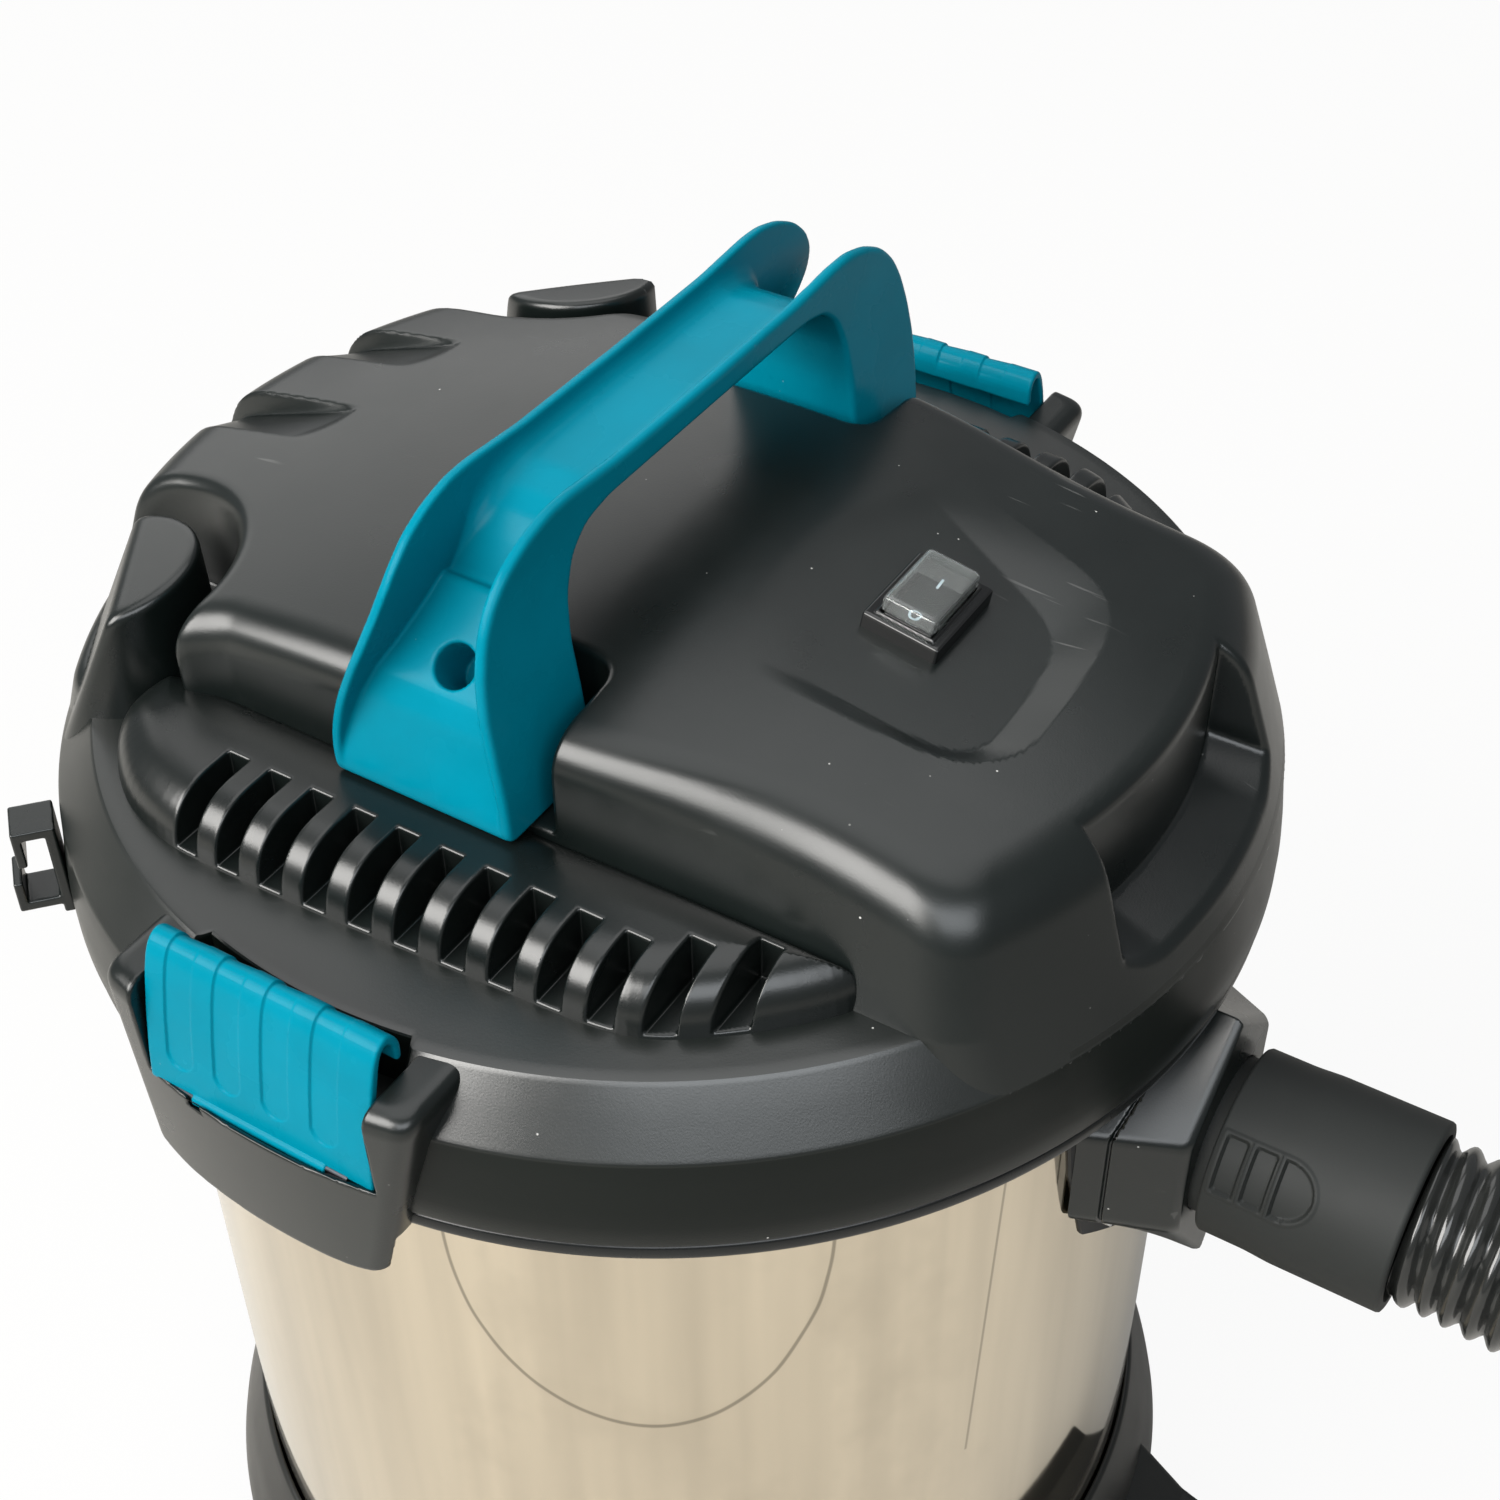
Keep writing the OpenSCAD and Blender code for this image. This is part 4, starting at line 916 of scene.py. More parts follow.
@dataclass
class Studio:
    """Camera, pale floor and soft lamps."""

    place: tuple[float, float, float] = (-0.4067, -0.2817, 0.7712)
    turn: float = -57.70
    height: float = 41.20
    roll: float = -0.65
    lens: float = 56.12
    sensor: float = 36.0
    floor_half: float = 9.0
    floor_colour: tuple[float, float, float, float] = (0.37, 0.36, 0.34, 1.0)
    floor_glow: float = 0.93
    sky: tuple[float, float, float, float] = (0.93, 0.96, 1.0, 1.0)
    sky_strength: float = 0.3
    white: tuple[float, float, float, float] = (1.0, 1.0, 1.0, 1.0)
    aim: tuple[float, float, float] = (0.0, 0.0, 0.38)
    lamps: tuple[tuple, ...] = (
        ("window", (-2.1, 1.0, 2.1), (2.6, 1.9), 235.0, (1.0, 0.98, 0.95)),
        ("window_front", (-1.75, -1.7, 2.3), (2.4, 1.6), 68.0, (0.92, 0.96, 1.0)),
        ("back", (1.5, 1.9, 1.6), (2.4, 1.6), 17.0, (1.0, 0.99, 0.97)),
        ("ceiling", (0.5, 0.3, 2.7), (2.2, 2.2), 30.0, (1.0, 1.0, 1.0)),
    )

    def camera(self) -> bpy.types.Object:
        """Camera that looks down on the head.

        The view's back direction is (sin a cos e, -cos a cos e, sin e) for azimuth a and elevation e; its
        right and up directions are turned about it by the roll.

        Returns:
            The camera.
        """
        a, e, c = (math.radians(v) for v in (self.turn, self.height, self.roll))
        back = Vector((math.sin(a) * math.cos(e), -math.cos(a) * math.cos(e), math.sin(e)))
        level = Vector((math.cos(a), math.sin(a), 0.0))
        rise = back.cross(level)
        right = math.cos(c) * level + math.sin(c) * rise
        up = math.cos(c) * rise - math.sin(c) * level
        data = bpy.data.cameras.new("camera")
        data.lens, data.sensor_width, data.sensor_fit = self.lens, self.sensor, "HORIZONTAL"
        data.clip_start, data.clip_end = 0.02, 60.0
        camera = add_object("camera", data)
        camera.matrix_world = Matrix((right, up, back)).transposed().to_4x4()
        camera.matrix_world.translation = Vector(self.place)
        bpy.context.scene.camera = camera
        return camera

    def floor(self) -> bpy.types.Object:
        """Pale floor that stays white to the camera and through clear parts, and keeps the object's shadow.

        Returns:
            The floor.
        """
        side = self.floor_half
        mesh = bpy.data.meshes.new("floor")
        mesh.from_pydata(
            [(-side, -side, 0), (side, -side, 0), (side, side, 0), (-side, side, 0)], [], [(0, 1, 2, 3)]
        )
        floor = add_object("floor", mesh)
        material = bpy.data.materials.new("pale_floor")
        g = Nodes(material)
        path = g.add("ShaderNodeLightPath").outputs
        seen = g.math("MAXIMUM", path["Is Camera Ray"], path["Is Transmission Ray"])
        matt = g.add("ShaderNodeBsdfDiffuse", {"Color": self.floor_colour})
        glow = g.add("ShaderNodeEmission", {"Color": self.white})
        g.end("ShaderNodeOutputMaterial", g.math("MULTIPLY", seen, self.floor_glow), matt, glow)
        mesh.materials.append(material)
        return floor

    def world(self) -> None:
        """Even pale surroundings, white to the camera."""
        world = bpy.data.worlds.new("surroundings")
        bpy.context.scene.world = world
        g = Nodes(world)
        soft = g.add("ShaderNodeBackground", {"Color": self.sky, "Strength": self.sky_strength})
        white = g.add("ShaderNodeBackground", {"Color": self.white})
        g.end("ShaderNodeOutputWorld", g.add("ShaderNodeLightPath").outputs["Is Camera Ray"], soft, white)

    def lamp(
        self, name: str, place: Sequence[float], size: Sequence[float], power: float, colour: Sequence[float]
    ) -> None:
        """Rectangular soft lamp that points from its place towards the object.

        Args:
            name: Name of the lamp.
            place: Its place in metres.
            size: Its width and height in metres.
            power: Its power in watts.
            colour: Its colour.
        """
        data = bpy.data.lights.new(name, "AREA")
        data.shape = "RECTANGLE"
        data.size, data.size_y = size
        data.energy = power
        data.color = colour
        lamp = add_object(name, data)
        lamp.matrix_world = (Vector(place) - Vector(self.aim)).to_track_quat("Z", "Y").to_matrix().to_4x4()
        lamp.matrix_world.translation = Vector(place)

    def build(self) -> None:
        """Makes the camera first, then floor, surroundings and lamps."""
        self.camera()
        self.floor()
        self.world()
        for lamp in self.lamps:
            self.lamp(*lamp)
        bpy.context.scene.view_settings.view_transform = "Standard"
        LOG.info("studio: camera, floor, surroundings and four lamps")


# ---------------------------------------------------------------- head


@dataclass
class HeadCover:
    """Black cover of the motor head: domed block, band with its chamfer, vent ledges and latch brackets."""

    dome_r: float = 650.0
    dome_h: float = 95.0
    half: float = 89.4
    half_middle: float = 90.2
    half_front: float = 80.2
    cone_r: float = 165.2
    cone_z: float = 31.0
    cone_slope: float = 0.325
    side_fillet: float = 11.0
    scoop_half: float = 15.5
    scoop_r: float = 143.7
    scoop_floor: float = 45.0
    pocket_in: float = 58.8
    pocket_half: float = 28.9
    pocket_middle: float = 3.2
    post_angles: tuple[float, float] = (123.5, 44.0)
    post_ring: float = 145.2
    post_r: float = 23.5
    recess_ring: float = 150.0
    recess_r: float = 38.5
    grooves: tuple[tuple[float, float, float], ...] = (
        (1.0, 103.0, 152.0), (45.0, 101.0, 150.0), (85.0, 93.0, 134.0)
    )
    groove_w: float = 19.0
    groove_depth: float = 9.5
    strip_z: float = 46.0
    ledge_z: float = 61.0
    slot_pitch: float = 13.2
    slot_w: float = 6.6
    slot_y: float = 60.3
    slot_inner: tuple[float, float, float] = (-107.0, -100.6, -91.9)
    slots: int = 12
    bracket_out: float = 175.3
    bracket_front: float = -43.5
    bracket_rear: float = 51.0
    bracket_low: float = -18.6
    apron_in: float = 170.2
    window_y: float = 4.0
    window_half: float = 34.9
    window_in: float = 171.4
    sill: float = 15.2
    wall_fillet: float = 9.0
    foot_z: float = 30.0
    panel_z: float = 87.94
    panel_y: float = -76.0
    panel_lean: float = 10.0
    front_from: float = -14.0
    panel_run: float = 26.0
    narrow_run: float = 88.0
    rear_out: float = 9.0
    rear_from: float = 72.0
    rear_run: float = 26.0
    post_flat: float = 143.0
    post_z: float = 76.0
    columns: int = 1080
    front_turn: float = 24.0
    pocket_turn: float = 12.1
    pocket_at: tuple[float, float] = (1.35, 178.65)
    panel_outer: Outline = (
        (52.0, -8.0), (55.5, -38.0), (50.5, -62.0), (40.0, -96.0), (36.5, -105.0), (30.0, -112.0),
        (20.0, -116.5), (6.0, -118.6), (-21.0, -119.4), (-30.4, -117.6), (-38.2, -111.6), (-42.6, -103.3),
        (-44.3, -89.0), (-44.5, -60.0), (-44.0, -8.0),
    )
    panel_inner: Outline = (
        (52.0, -9.0), (48.9, -34.7), (35.7, -63.8), (20.5, -96.0), (15.5, -103.0), (8.0, -107.2),
        (-5.0, -108.6), (-24.0, -109.6), (-31.5, -108.6), (-36.8, -105.0), (-39.2, -97.0), (-39.8, -72.0),
        (-42.0, -9.0),
    )
    ledge_foot: Outline = (
        (-84.0, 101.0), (-100.0, 102.5), (-108.0, 99.5), (-116.0, 93.0), (-124.5, 81.0), (-129.6, 64.0),
        (-130.0, 50.0), (-129.0, 15.4), (-126.9, -21.0), (-124.9, -58.2), (-122.2, -71.5), (-114.3, -83.5),
        (-102.4, -97.5), (-89.6, -108.5), (-84.0, -110.0),
    )
    band_side: Outline = (
        (152.0, 3.4), (166.0, 3.4), (166.9, 3.9), (167.3, 5.0), (167.3, 11.0), (166.9, 16.0), (165.95, 24.0),
        (165.35, 30.1), (165.22, 30.7), (164.9, 31.2), (164.45, 31.8), (159.3, 38.6), (154.6, 44.85),
        (154.15, 45.4), (153.65, 45.85), (153.0, 46.0), (150.0, 46.0), (84.0, 46.0), (84.0, 43.0),
        (150.0, 42.0), (152.0, 38.0),
    )
    band_front: Outline = (
        (152.0, 3.4), (166.0, 3.4), (166.9, 3.9), (167.3, 5.0), (167.3, 11.0), (166.9, 16.0), (165.95, 24.0),
        (165.3, 30.2), (165.25, 30.6), (165.2, 31.0), (165.1, 31.3), (164.9, 32.0), (164.7, 32.6),
        (164.5, 33.2), (163.6, 33.3), (163.0, 33.3), (150.0, 33.3), (141.0, 33.0), (141.0, 31.0),
        (150.0, 30.0), (152.0, 28.0),
    )
    band_pocket: Outline = (
        (152.0, 3.4), (166.0, 3.4), (166.9, 3.9), (167.2, 5.0), (167.2, 9.0), (167.0, 12.0), (166.6, 12.6),
        (160.0, 12.7), (153.0, 12.8), (150.9, 14.0), (150.8, 20.0), (150.75, 40.0), (150.7, 44.8),
        (150.6, 45.4), (150.2, 45.9), (149.6, 46.0), (148.0, 46.0), (84.0, 46.0), (84.0, 43.0), (148.0, 42.0),
        (149.0, 38.0),
    )

    def dome(self, x: Array, y: Array) -> Array:
        """Height of the domed top: a shallow sphere about a centre far below."""
        return self.dome_h - self.dome_r + np.sqrt(self.dome_r**2 - x * x - y * y)

    def panel(self, x: Array, y: Array, top: Array) -> Array:
        """Top lowered to the switch panel.

        The panel is a plane that leans forward. Between its own outline and the outer one the height goes
        evenly from the plane to the dome, in the ratio of the distances to the two outlines.

        Args:
            x: X of the points.
            y: Y of the points.
            top: Height of the dome there.

        Returns:
            The height with the panel.
        """
        d_out = np.maximum(-polygon_distance(x, y, rounded(self.panel_outer, 9.0)), 0.0)
        d_in = np.maximum(polygon_distance(x, y, rounded(self.panel_inner, 7.0)), 0.0)
        share = d_out / np.maximum(d_out + d_in, 1e-3)
        plane = self.panel_z + (y - self.panel_y) * math.tan(math.radians(self.panel_lean))
        sunk = -soft_max(-plane, -top, 0.8) - top
        return top + share * sunk * ease((self.front_from - y) / self.panel_run)

    def groove(self, x: Array, y: Array, wall: float, inner: float, mouth: float) -> Array:
        """Depth of one rear groove below the dome.

        It is the product of a rise towards the mouth and a rise across the groove towards its straight
        wall, inside an outline with a round inner end.

        Args:
            x: X of the points.
            y: Y of the points.
            wall: X of the straight wall.
            inner: Y of the inner end.
            mouth: Y of the mouth.

        Returns:
            The depth.
        """
        along = np.clip((y - inner) / (mouth - inner), 0.0, 1.15)
        across = np.clip(1.0 - (wall - x) / self.groove_w, 0.0, 1.0)
        round_end = ease(0.5 + (y - inner - 8.0 * (1.0 - across) ** 2) / 6.0)
        face = ease(0.5 + (wall - x) / 2.2)
        return self.groove_depth * along**0.8 * across**0.9 * round_end * face

    def top(self, x: Array, y: Array) -> Array:
        """Height of the block's top with its panel and rear grooves.

        Args:
            x: X of the points.
            y: Y of the points.

        Returns:
            The height over the rim.
        """
        z = self.dome(x, y)
        z = self.panel(x, y, z)
        for wall, inner, mouth in self.grooves:
            z = z - self.groove(x, y, wall, inner, mouth)
        return z

    def cone(self, r: Array, z: Array) -> Array:
        """Distance to the block's sloping front and rear wall."""
        return (r - (self.cone_r - self.cone_slope * (z - self.cone_z))) / math.hypot(1.0, self.cone_slope)

    def side_wall(self, x: Array, y: Array, z: Array) -> Array:
        """Distance to the side walls, upright behind and drawn in at the top towards the front.

        The wall stands at the half width at its foot and moves in linearly to the top's half width, which
        itself eases from the middle's to the front's along Y.

        Args:
            x: X of the points.
            y: Y of the points.
            z: Z of the points.

        Returns:
            The distance, negative inside.
        """
        narrow = ease((self.front_from - y) / self.narrow_run) ** 0.9
        in_top = self.half_middle + (self.half_front - self.half_middle) * narrow
        rise = np.clip((z - self.strip_z) / 30.0, 0.0, 1.3)
        rear = self.rear_out * ease((y - self.rear_from) / self.rear_run)
        return (np.abs(x) - (self.half + (in_top - self.half) * rise) - rear) * 0.96

    def block(self, x: Array, y: Array, z: Array) -> Array:
        """Distance to the central block, cut by scoop, handle pockets and post recesses, with its posts.

        Args:
            x: X of the points.
            y: Y of the points.
            z: Z of the points.

        Returns:
            The distance, negative inside.
        """
        z = z - RIM_Z
        r, angle = polar(x, y)
        top = (z - self.top(x, y)) * 0.985
        d = soft_max(self.side_wall(x, y, z), self.cone(r, z), self.wall_fillet)
        d = soft_max(d, top, self.side_fillet)
        off = np.abs(turn_from(angle, -90.0))
        turned = off / self.scoop_half
        reach = (off - self.scoop_half) * math.radians(1.0) * r
        floor = (
            self.scoop_floor - 4.0 * np.clip((r - self.scoop_r) / 17.5, 0.0, 1.2)
            + 14.0 * np.maximum(turned - 0.66, 0.0) ** 2 / 0.34
        )
        cut = soft_max(soft_max(self.scoop_r - r, reach, 0.8), (floor - z) * 0.9, 1.2)
        d = soft_max(d, -cut, 2.2)
        pocket = soft_max(
            soft_max(self.pocket_in - np.abs(x), np.abs(y - self.pocket_middle) - self.pocket_half, 9.0),
            self.ledge_z + 0.3 - z,
            0.8,
        )
        d = soft_max(d, -pocket, 1.6)
        for c, s in map(direction, self.post_angles):
            hole = length(x - self.recess_ring * c, y - self.recess_ring * s) - self.recess_r
            d = soft_max(d, -soft_max(hole, self.strip_z + 1.0 - z, 2.0), 5.0)
        for c, s in map(direction, self.post_angles):
            disc = length(
                x - self.post_ring * c, y - self.post_ring * s
            ) - self.post_r - 0.04 * (self.post_z - z)
            flat = (x * c + y * s - self.post_flat - 0.47 * (self.post_z - z)) * 0.905
            crest = z - (self.dome(x, y) - 1.2)
            d = np.minimum(d, soft_max(soft_max(disc, flat, 2.5), crest, 3.0))
        return soft_max(d, self.foot_z - z, 0.4)

    def skirt(self) -> bpy.types.Object:
        """Band, chamfer and strip, turned round the axis.

        The outline's points move with the angle u: towards the front they end at the band's top, so that the
        scoop stays open, and behind the levers they draw in and make the levers' pocket.

        Returns:
            The piece.
        """
        u = np.linspace(-180.0, 180.0, self.columns, endpoint=False)[None, :]
        to_front = ease(self.front_turn - np.abs(turn_from(u, -90.0)))
        fold = np.minimum(*(np.abs(turn_from(u, at)) for at in self.pocket_at))
        to_pocket = np.clip((self.pocket_turn - fold) / 0.34, 0.0, 1.0)
        a, b, c = (np.asarray(o)[:, None, :] for o in (self.band_side, self.band_front, self.band_pocket))
        shape = a + (b - a) * to_front[..., None]
        shape = shape + (c - shape) * to_pocket[..., None]
        v = np.radians(u)
        p = np.stack([shape[..., 0] * np.cos(v), shape[..., 0] * np.sin(v), shape[..., 1] + RIM_Z], -1)
        faces = grid_faces(len(self.band_side), self.columns, close_rows=True)
        return write_mesh("head_band", p.reshape(-1, 3), faces, crease=24.0)

    def ledge(self, x: Array, y: Array, z: Array) -> Array:
        """Distance to the left vent ledge: a foot outline under a broad rounded shoulder, cut by slots.

        Args:
            x: X of the points.
            y: Y of the points.
            z: Z of the points.

        Returns:
            The distance, negative inside.
        """
        z = z - RIM_Z
        plan = polygon_distance(x, y, rounded(self.ledge_foot, 9.0)) + 0.05 * (z - self.strip_z)
        d = soft_max(plan, z - self.ledge_z - 0.2, 15.5)
        d = soft_max(d, self.strip_z - 1.5 - z, 0.4)
        for k in range(self.slots):
            rear = self.slot_y - self.slot_pitch * k
            inner = self.slot_inner[max(0, k + len(self.slot_inner) - self.slots)]
            across = np.abs(y - rear + 0.5 * self.slot_w) - 0.5 * self.slot_w
            slot = soft_max(across, soft_max(x - inner, self.strip_z + 1.0 - z, 0.6), 0.5)
            d = soft_max(d, -slot, 0.9)
        return d

    def bracket(self, x: Array, y: Array, z: Array) -> Array:
        """Distance to the left latch bracket: two cheeks and an apron round the lever's window.

        Args:
            x: X of the points.
            y: Y of the points.
            z: Z of the points.

        Returns:
            The distance, negative inside.
        """
        z = z - RIM_Z
        r, _ = polar(x, y)
        fall = np.clip((45.0 - z) / 63.0, 0.0, 1.0)
        outer = r - (self.bracket_out - 2.6 * fall)
        front = self.bracket_front + 15.0 * fall - y
        rear = y - self.bracket_rear + 3.0 * fall
        body = soft_max(soft_max(outer, front, 5.0), rear, 5.0)
        body = soft_max(body, z - 45.2, 6.0)
        low = self.bracket_low + 3.4 * np.clip((np.abs(y - 8.0) - 22.0) / 16.0, 0.0, 1.0) ** 2
        body = soft_max(body, (low - z) * 0.95, 1.6)
        body = soft_max(body, 149.0 - r, 0.4)
        body = soft_max(body, -soft_max(r - self.apron_in, z + 2.8, 0.8), 1.0)
        under = soft_max(r - 171.0, z - 4.2, 1.0)
        body = soft_max(body, -soft_max(under, np.abs(y - 8.0) - 34.0, 1.0), 0.8)
        across = np.abs(y - self.window_y) - self.window_half
        sill = self.sill + 0.8 * np.clip(r - self.window_in, 0.0, 2.8)
        body = soft_max(body, -soft_max(across, (sill - z) * 0.85, 0.6), 0.9)
        behind = soft_max(soft_max(across, r - self.window_in, 0.6), 8.0 - z, 0.6)
        knuckle = soft_max(length(x + LATCH_PIN[0], z - LATCH_PIN[1]) - 2.2, np.abs(y - 4.25) - 20.8, 0.3)
        behind = np.minimum(behind, knuckle)
        body = soft_max(body, -behind, 0.6)
        return soft_max(body, x + 120.0, 1.0)

    def build(self, kit: "Materials") -> None:
        """Makes the cover's mouldings and lets them stand for the CAD cover.

        Args:
            kit: The finishes.
        """
        block = moulded("head_dome", self.block, (-112, -167.5, RIM_Z + 28), (112, 167.5, RIM_Z + 99), 1.1)
        dress(block, kit["shell"], Place.HEAD, ["head_cover"])
        dress(self.skirt(), kit["skirt"], Place.HEAD, ["head_cover"])
        for side in Side:
            low, high = side.span(86.0, 133.0)
            box = (low, -113, RIM_Z + 43), (high, 106, RIM_Z + 64)
            piece = moulded(f"vent_ledge_{side.value}", side.shape(self.ledge), *box, (0.75, 0.66, 0.75))
            dress(piece, kit["vents"], Place.HEAD, ["head_cover"])
            low, high = side.span(118.0, 178.0)
            box = (low, -46, RIM_Z - 22), (high, 54, RIM_Z + 48)
            piece = moulded(f"latch_bracket_{side.value}", side.shape(self.bracket), *box, 0.85)
            dress(piece, kit["shell"], Place.HEAD, ["head_cover"])


# ---------------------------------------------------------------- handle and latches


@dataclass
class Handle:
    """Teal carrying handle: an upturned channel whose flanges widen into two screwed feet."""

    outer: Outline = (
        (-12.0, 135.0), (40.0, 135.4), (60.0, 136.9), (68.0, 136.6), (77.0, 134.2), (85.0, 130.2),
        (91.0, 124.6), (95.0, 118.0), (98.0, 109.0),
        (99.6, 99.0), (99.8, 88.0), (99.4, 76.0), (98.8, 61.2), (64.0, 61.2), (64.6, 82.0), (65.2, 100.0),
        (63.6, 112.0), (60.0, 120.4), (54.0, 125.6), (45.0, 127.4), (-12.0, 127.6),
    )
    floor: Outline = (
        (-12.0, 129.8), (44.0, 129.6), (52.0, 128.0), (58.0, 125.0), (63.0, 120.6), (67.0, 115.0),
        (69.6, 110.6), (72.4, 112.4), (85.5, 98.6), (91.0, 93.4),
        (94.0, 86.5), (95.8, 78.0), (98.0, 69.0), (100.6, 58.0), (120.0, 58.0), (120.0, 150.0),
        (-12.0, 150.0),
    )
    grip_half: float = 15.2
    flange: float = 3.0
    hole: tuple[float, float, float] = (86.0, 2.0, 98.2)
    hole_r: float = 5.6
    hole_depth: float = 15.0
    hole_lean: float = 46.0
    foot_in: float = 64.0
    flare_from: float = 128.0
    flare_run: float = 62.0
    front_flare: float = 5.0
    rear_flare: float = 12.0
    edge_flare: float = 6.0

    def shape(self, x: Array, y: Array, z: Array) -> Array:
        """Distance to the handle.

        The side silhouette is cut off by the front and rear faces. These stand at the grip's half width and
        flare towards the feet by an eased step of the height, most at the rear's outer edge. The channel
        between the flanges is taken out above the floor line, and the hole is square to the boss's slope.

        Args:
            x: X of the points.
            y: Y of the points.
            z: Z of the points.

        Returns:
            The distance, negative inside.
        """
        z = z - RIM_Z
        a = np.abs(x)
        flare = ease((self.flare_from - z) / self.flare_run)
        outward = np.clip((a - self.foot_in) / 35.0, 0.0, 1.1)
        front = self.grip_half + self.front_flare * flare
        rear = self.grip_half + flare * (self.rear_flare + self.edge_flare * outward)
        profile = polygon_distance(a, z, rounded(self.outer, 3.0, 3))
        d = soft_max(soft_max(profile, (-front - y) * 0.94, 1.7), (y - rear) * 0.95, 1.7)
        above = polygon_distance(a, z, rounded(self.floor, 2.0, 3))
        between = soft_max((-front + self.flange - y) * 0.94, (y - rear + self.flange) * 0.95, 0.6)
        fillet = 5.5 - 4.4 * ease((a - 60.0) / 9.0)
        d = soft_max(d, -soft_max(above, between, fillet), 1.0)
        c, s = direction(self.hole_lean)
        u, w = a - self.hole[0], z - self.hole[2]
        hole = length(u * c - w * s, y - self.hole[1]) - self.hole_r
        return soft_max(d, -soft_max(hole, -(u * s + w * c) - self.hole_depth, 0.4), 0.9)

    def build(self, kit: "Materials") -> None:
        """Makes the handle in one piece."""
        piece = moulded("carry_handle", self.shape, (-102, -37, RIM_Z + 59), (102, 38, RIM_Z + 139), 0.8)
        dress(piece, kit["teal"], Place.HEAD, ["handle"])


@dataclass
class Lever:
    """Teal latch lever: an inverted U with four sunk finger panels that run over its ridge."""

    outline: Outline = (
        (168.4, 15.6), (170.6, 15.4), (169.6, 24.0), (167.4, 37.0), (165.2, 47.0), (163.6, 52.2),
        (161.6, 55.6), (158.6, 56.8), (156.0, 55.4), (154.2, 52.0),
        (154.2, 46.7), (156.3, 46.7), (156.4, 51.4), (157.4, 53.4), (158.8, 54.3), (160.4, 53.4),
        (161.6, 50.8), (163.4, 44.0), (165.4, 35.0), (167.4, 24.0),
    )
    middle: float = 4.25
    half: float = 33.75
    knuckle: float = 20.2
    barrel_r: float = 1.75
    panel_y: tuple[float, ...] = (27.7, 13.2, -1.3, -15.8)
    panel_half: float = 4.1
    panel_foot: float = 23.0
    depth: float = 0.62

    def shape(self, x: Array, y: Array, z: Array) -> Array:
        """Distance to the left lever.

        A panel is a strip across the lever with a round lower end. Inside it the outer face lies lower, most
        at the strip's rear edge.

        Args:
            x: X of the points.
            y: Y of the points.
            z: Z of the points.

        Returns:
            The distance, negative inside.
        """
        z = z - RIM_Z
        section = polygon_distance(-x, z, rounded(self.outline, 1.6, 3))
        sunk = np.zeros(np.broadcast(x, y, z).shape, np.float32)
        for at in self.panel_y:
            foot = np.maximum(self.panel_foot + self.panel_half - z, 0.0)
            strip = self.panel_half - length(y - at, foot)
            share = 0.62 + 0.38 * np.clip((y - at) / self.panel_half, -1.0, 1.0)
            sunk = np.maximum(sunk, self.depth * share * ease(0.5 + strip / 0.55))
        outward = np.clip((-x - 154.0 + 0.6 * (z - 50.0).clip(0.0, 9.0)) / 3.0, 0.0, 1.0)
        d = section + sunk * outward
        d = soft_max(d, np.abs(y - self.middle) - self.half, 0.9)
        barrel = length(-x - LATCH_PIN[0], z - LATCH_PIN[1]) - self.barrel_r
        return np.minimum(d, soft_max(barrel, np.abs(y - self.middle) - self.knuckle, 0.4))

    def build(self, kit: "Materials") -> None:
        """Makes both levers, each on its own latch.

        Args:
            kit: The finishes.
        """
        for side, place in zip(Side, (Place.LEFT_LATCH, Place.RIGHT_LATCH)):
            low, high = side.span(152.5, 173.5)
            box = (low, -31, RIM_Z + 11.5), (high, 40, RIM_Z + 58.5)
            piece = moulded(f"lever_{side.value}", side.shape(self.shape), *box, 0.5)
            dress(piece, kit["teal"], place, [f"latch_lever_{side.value}"])


# ---------------------------------------------------------------- switch


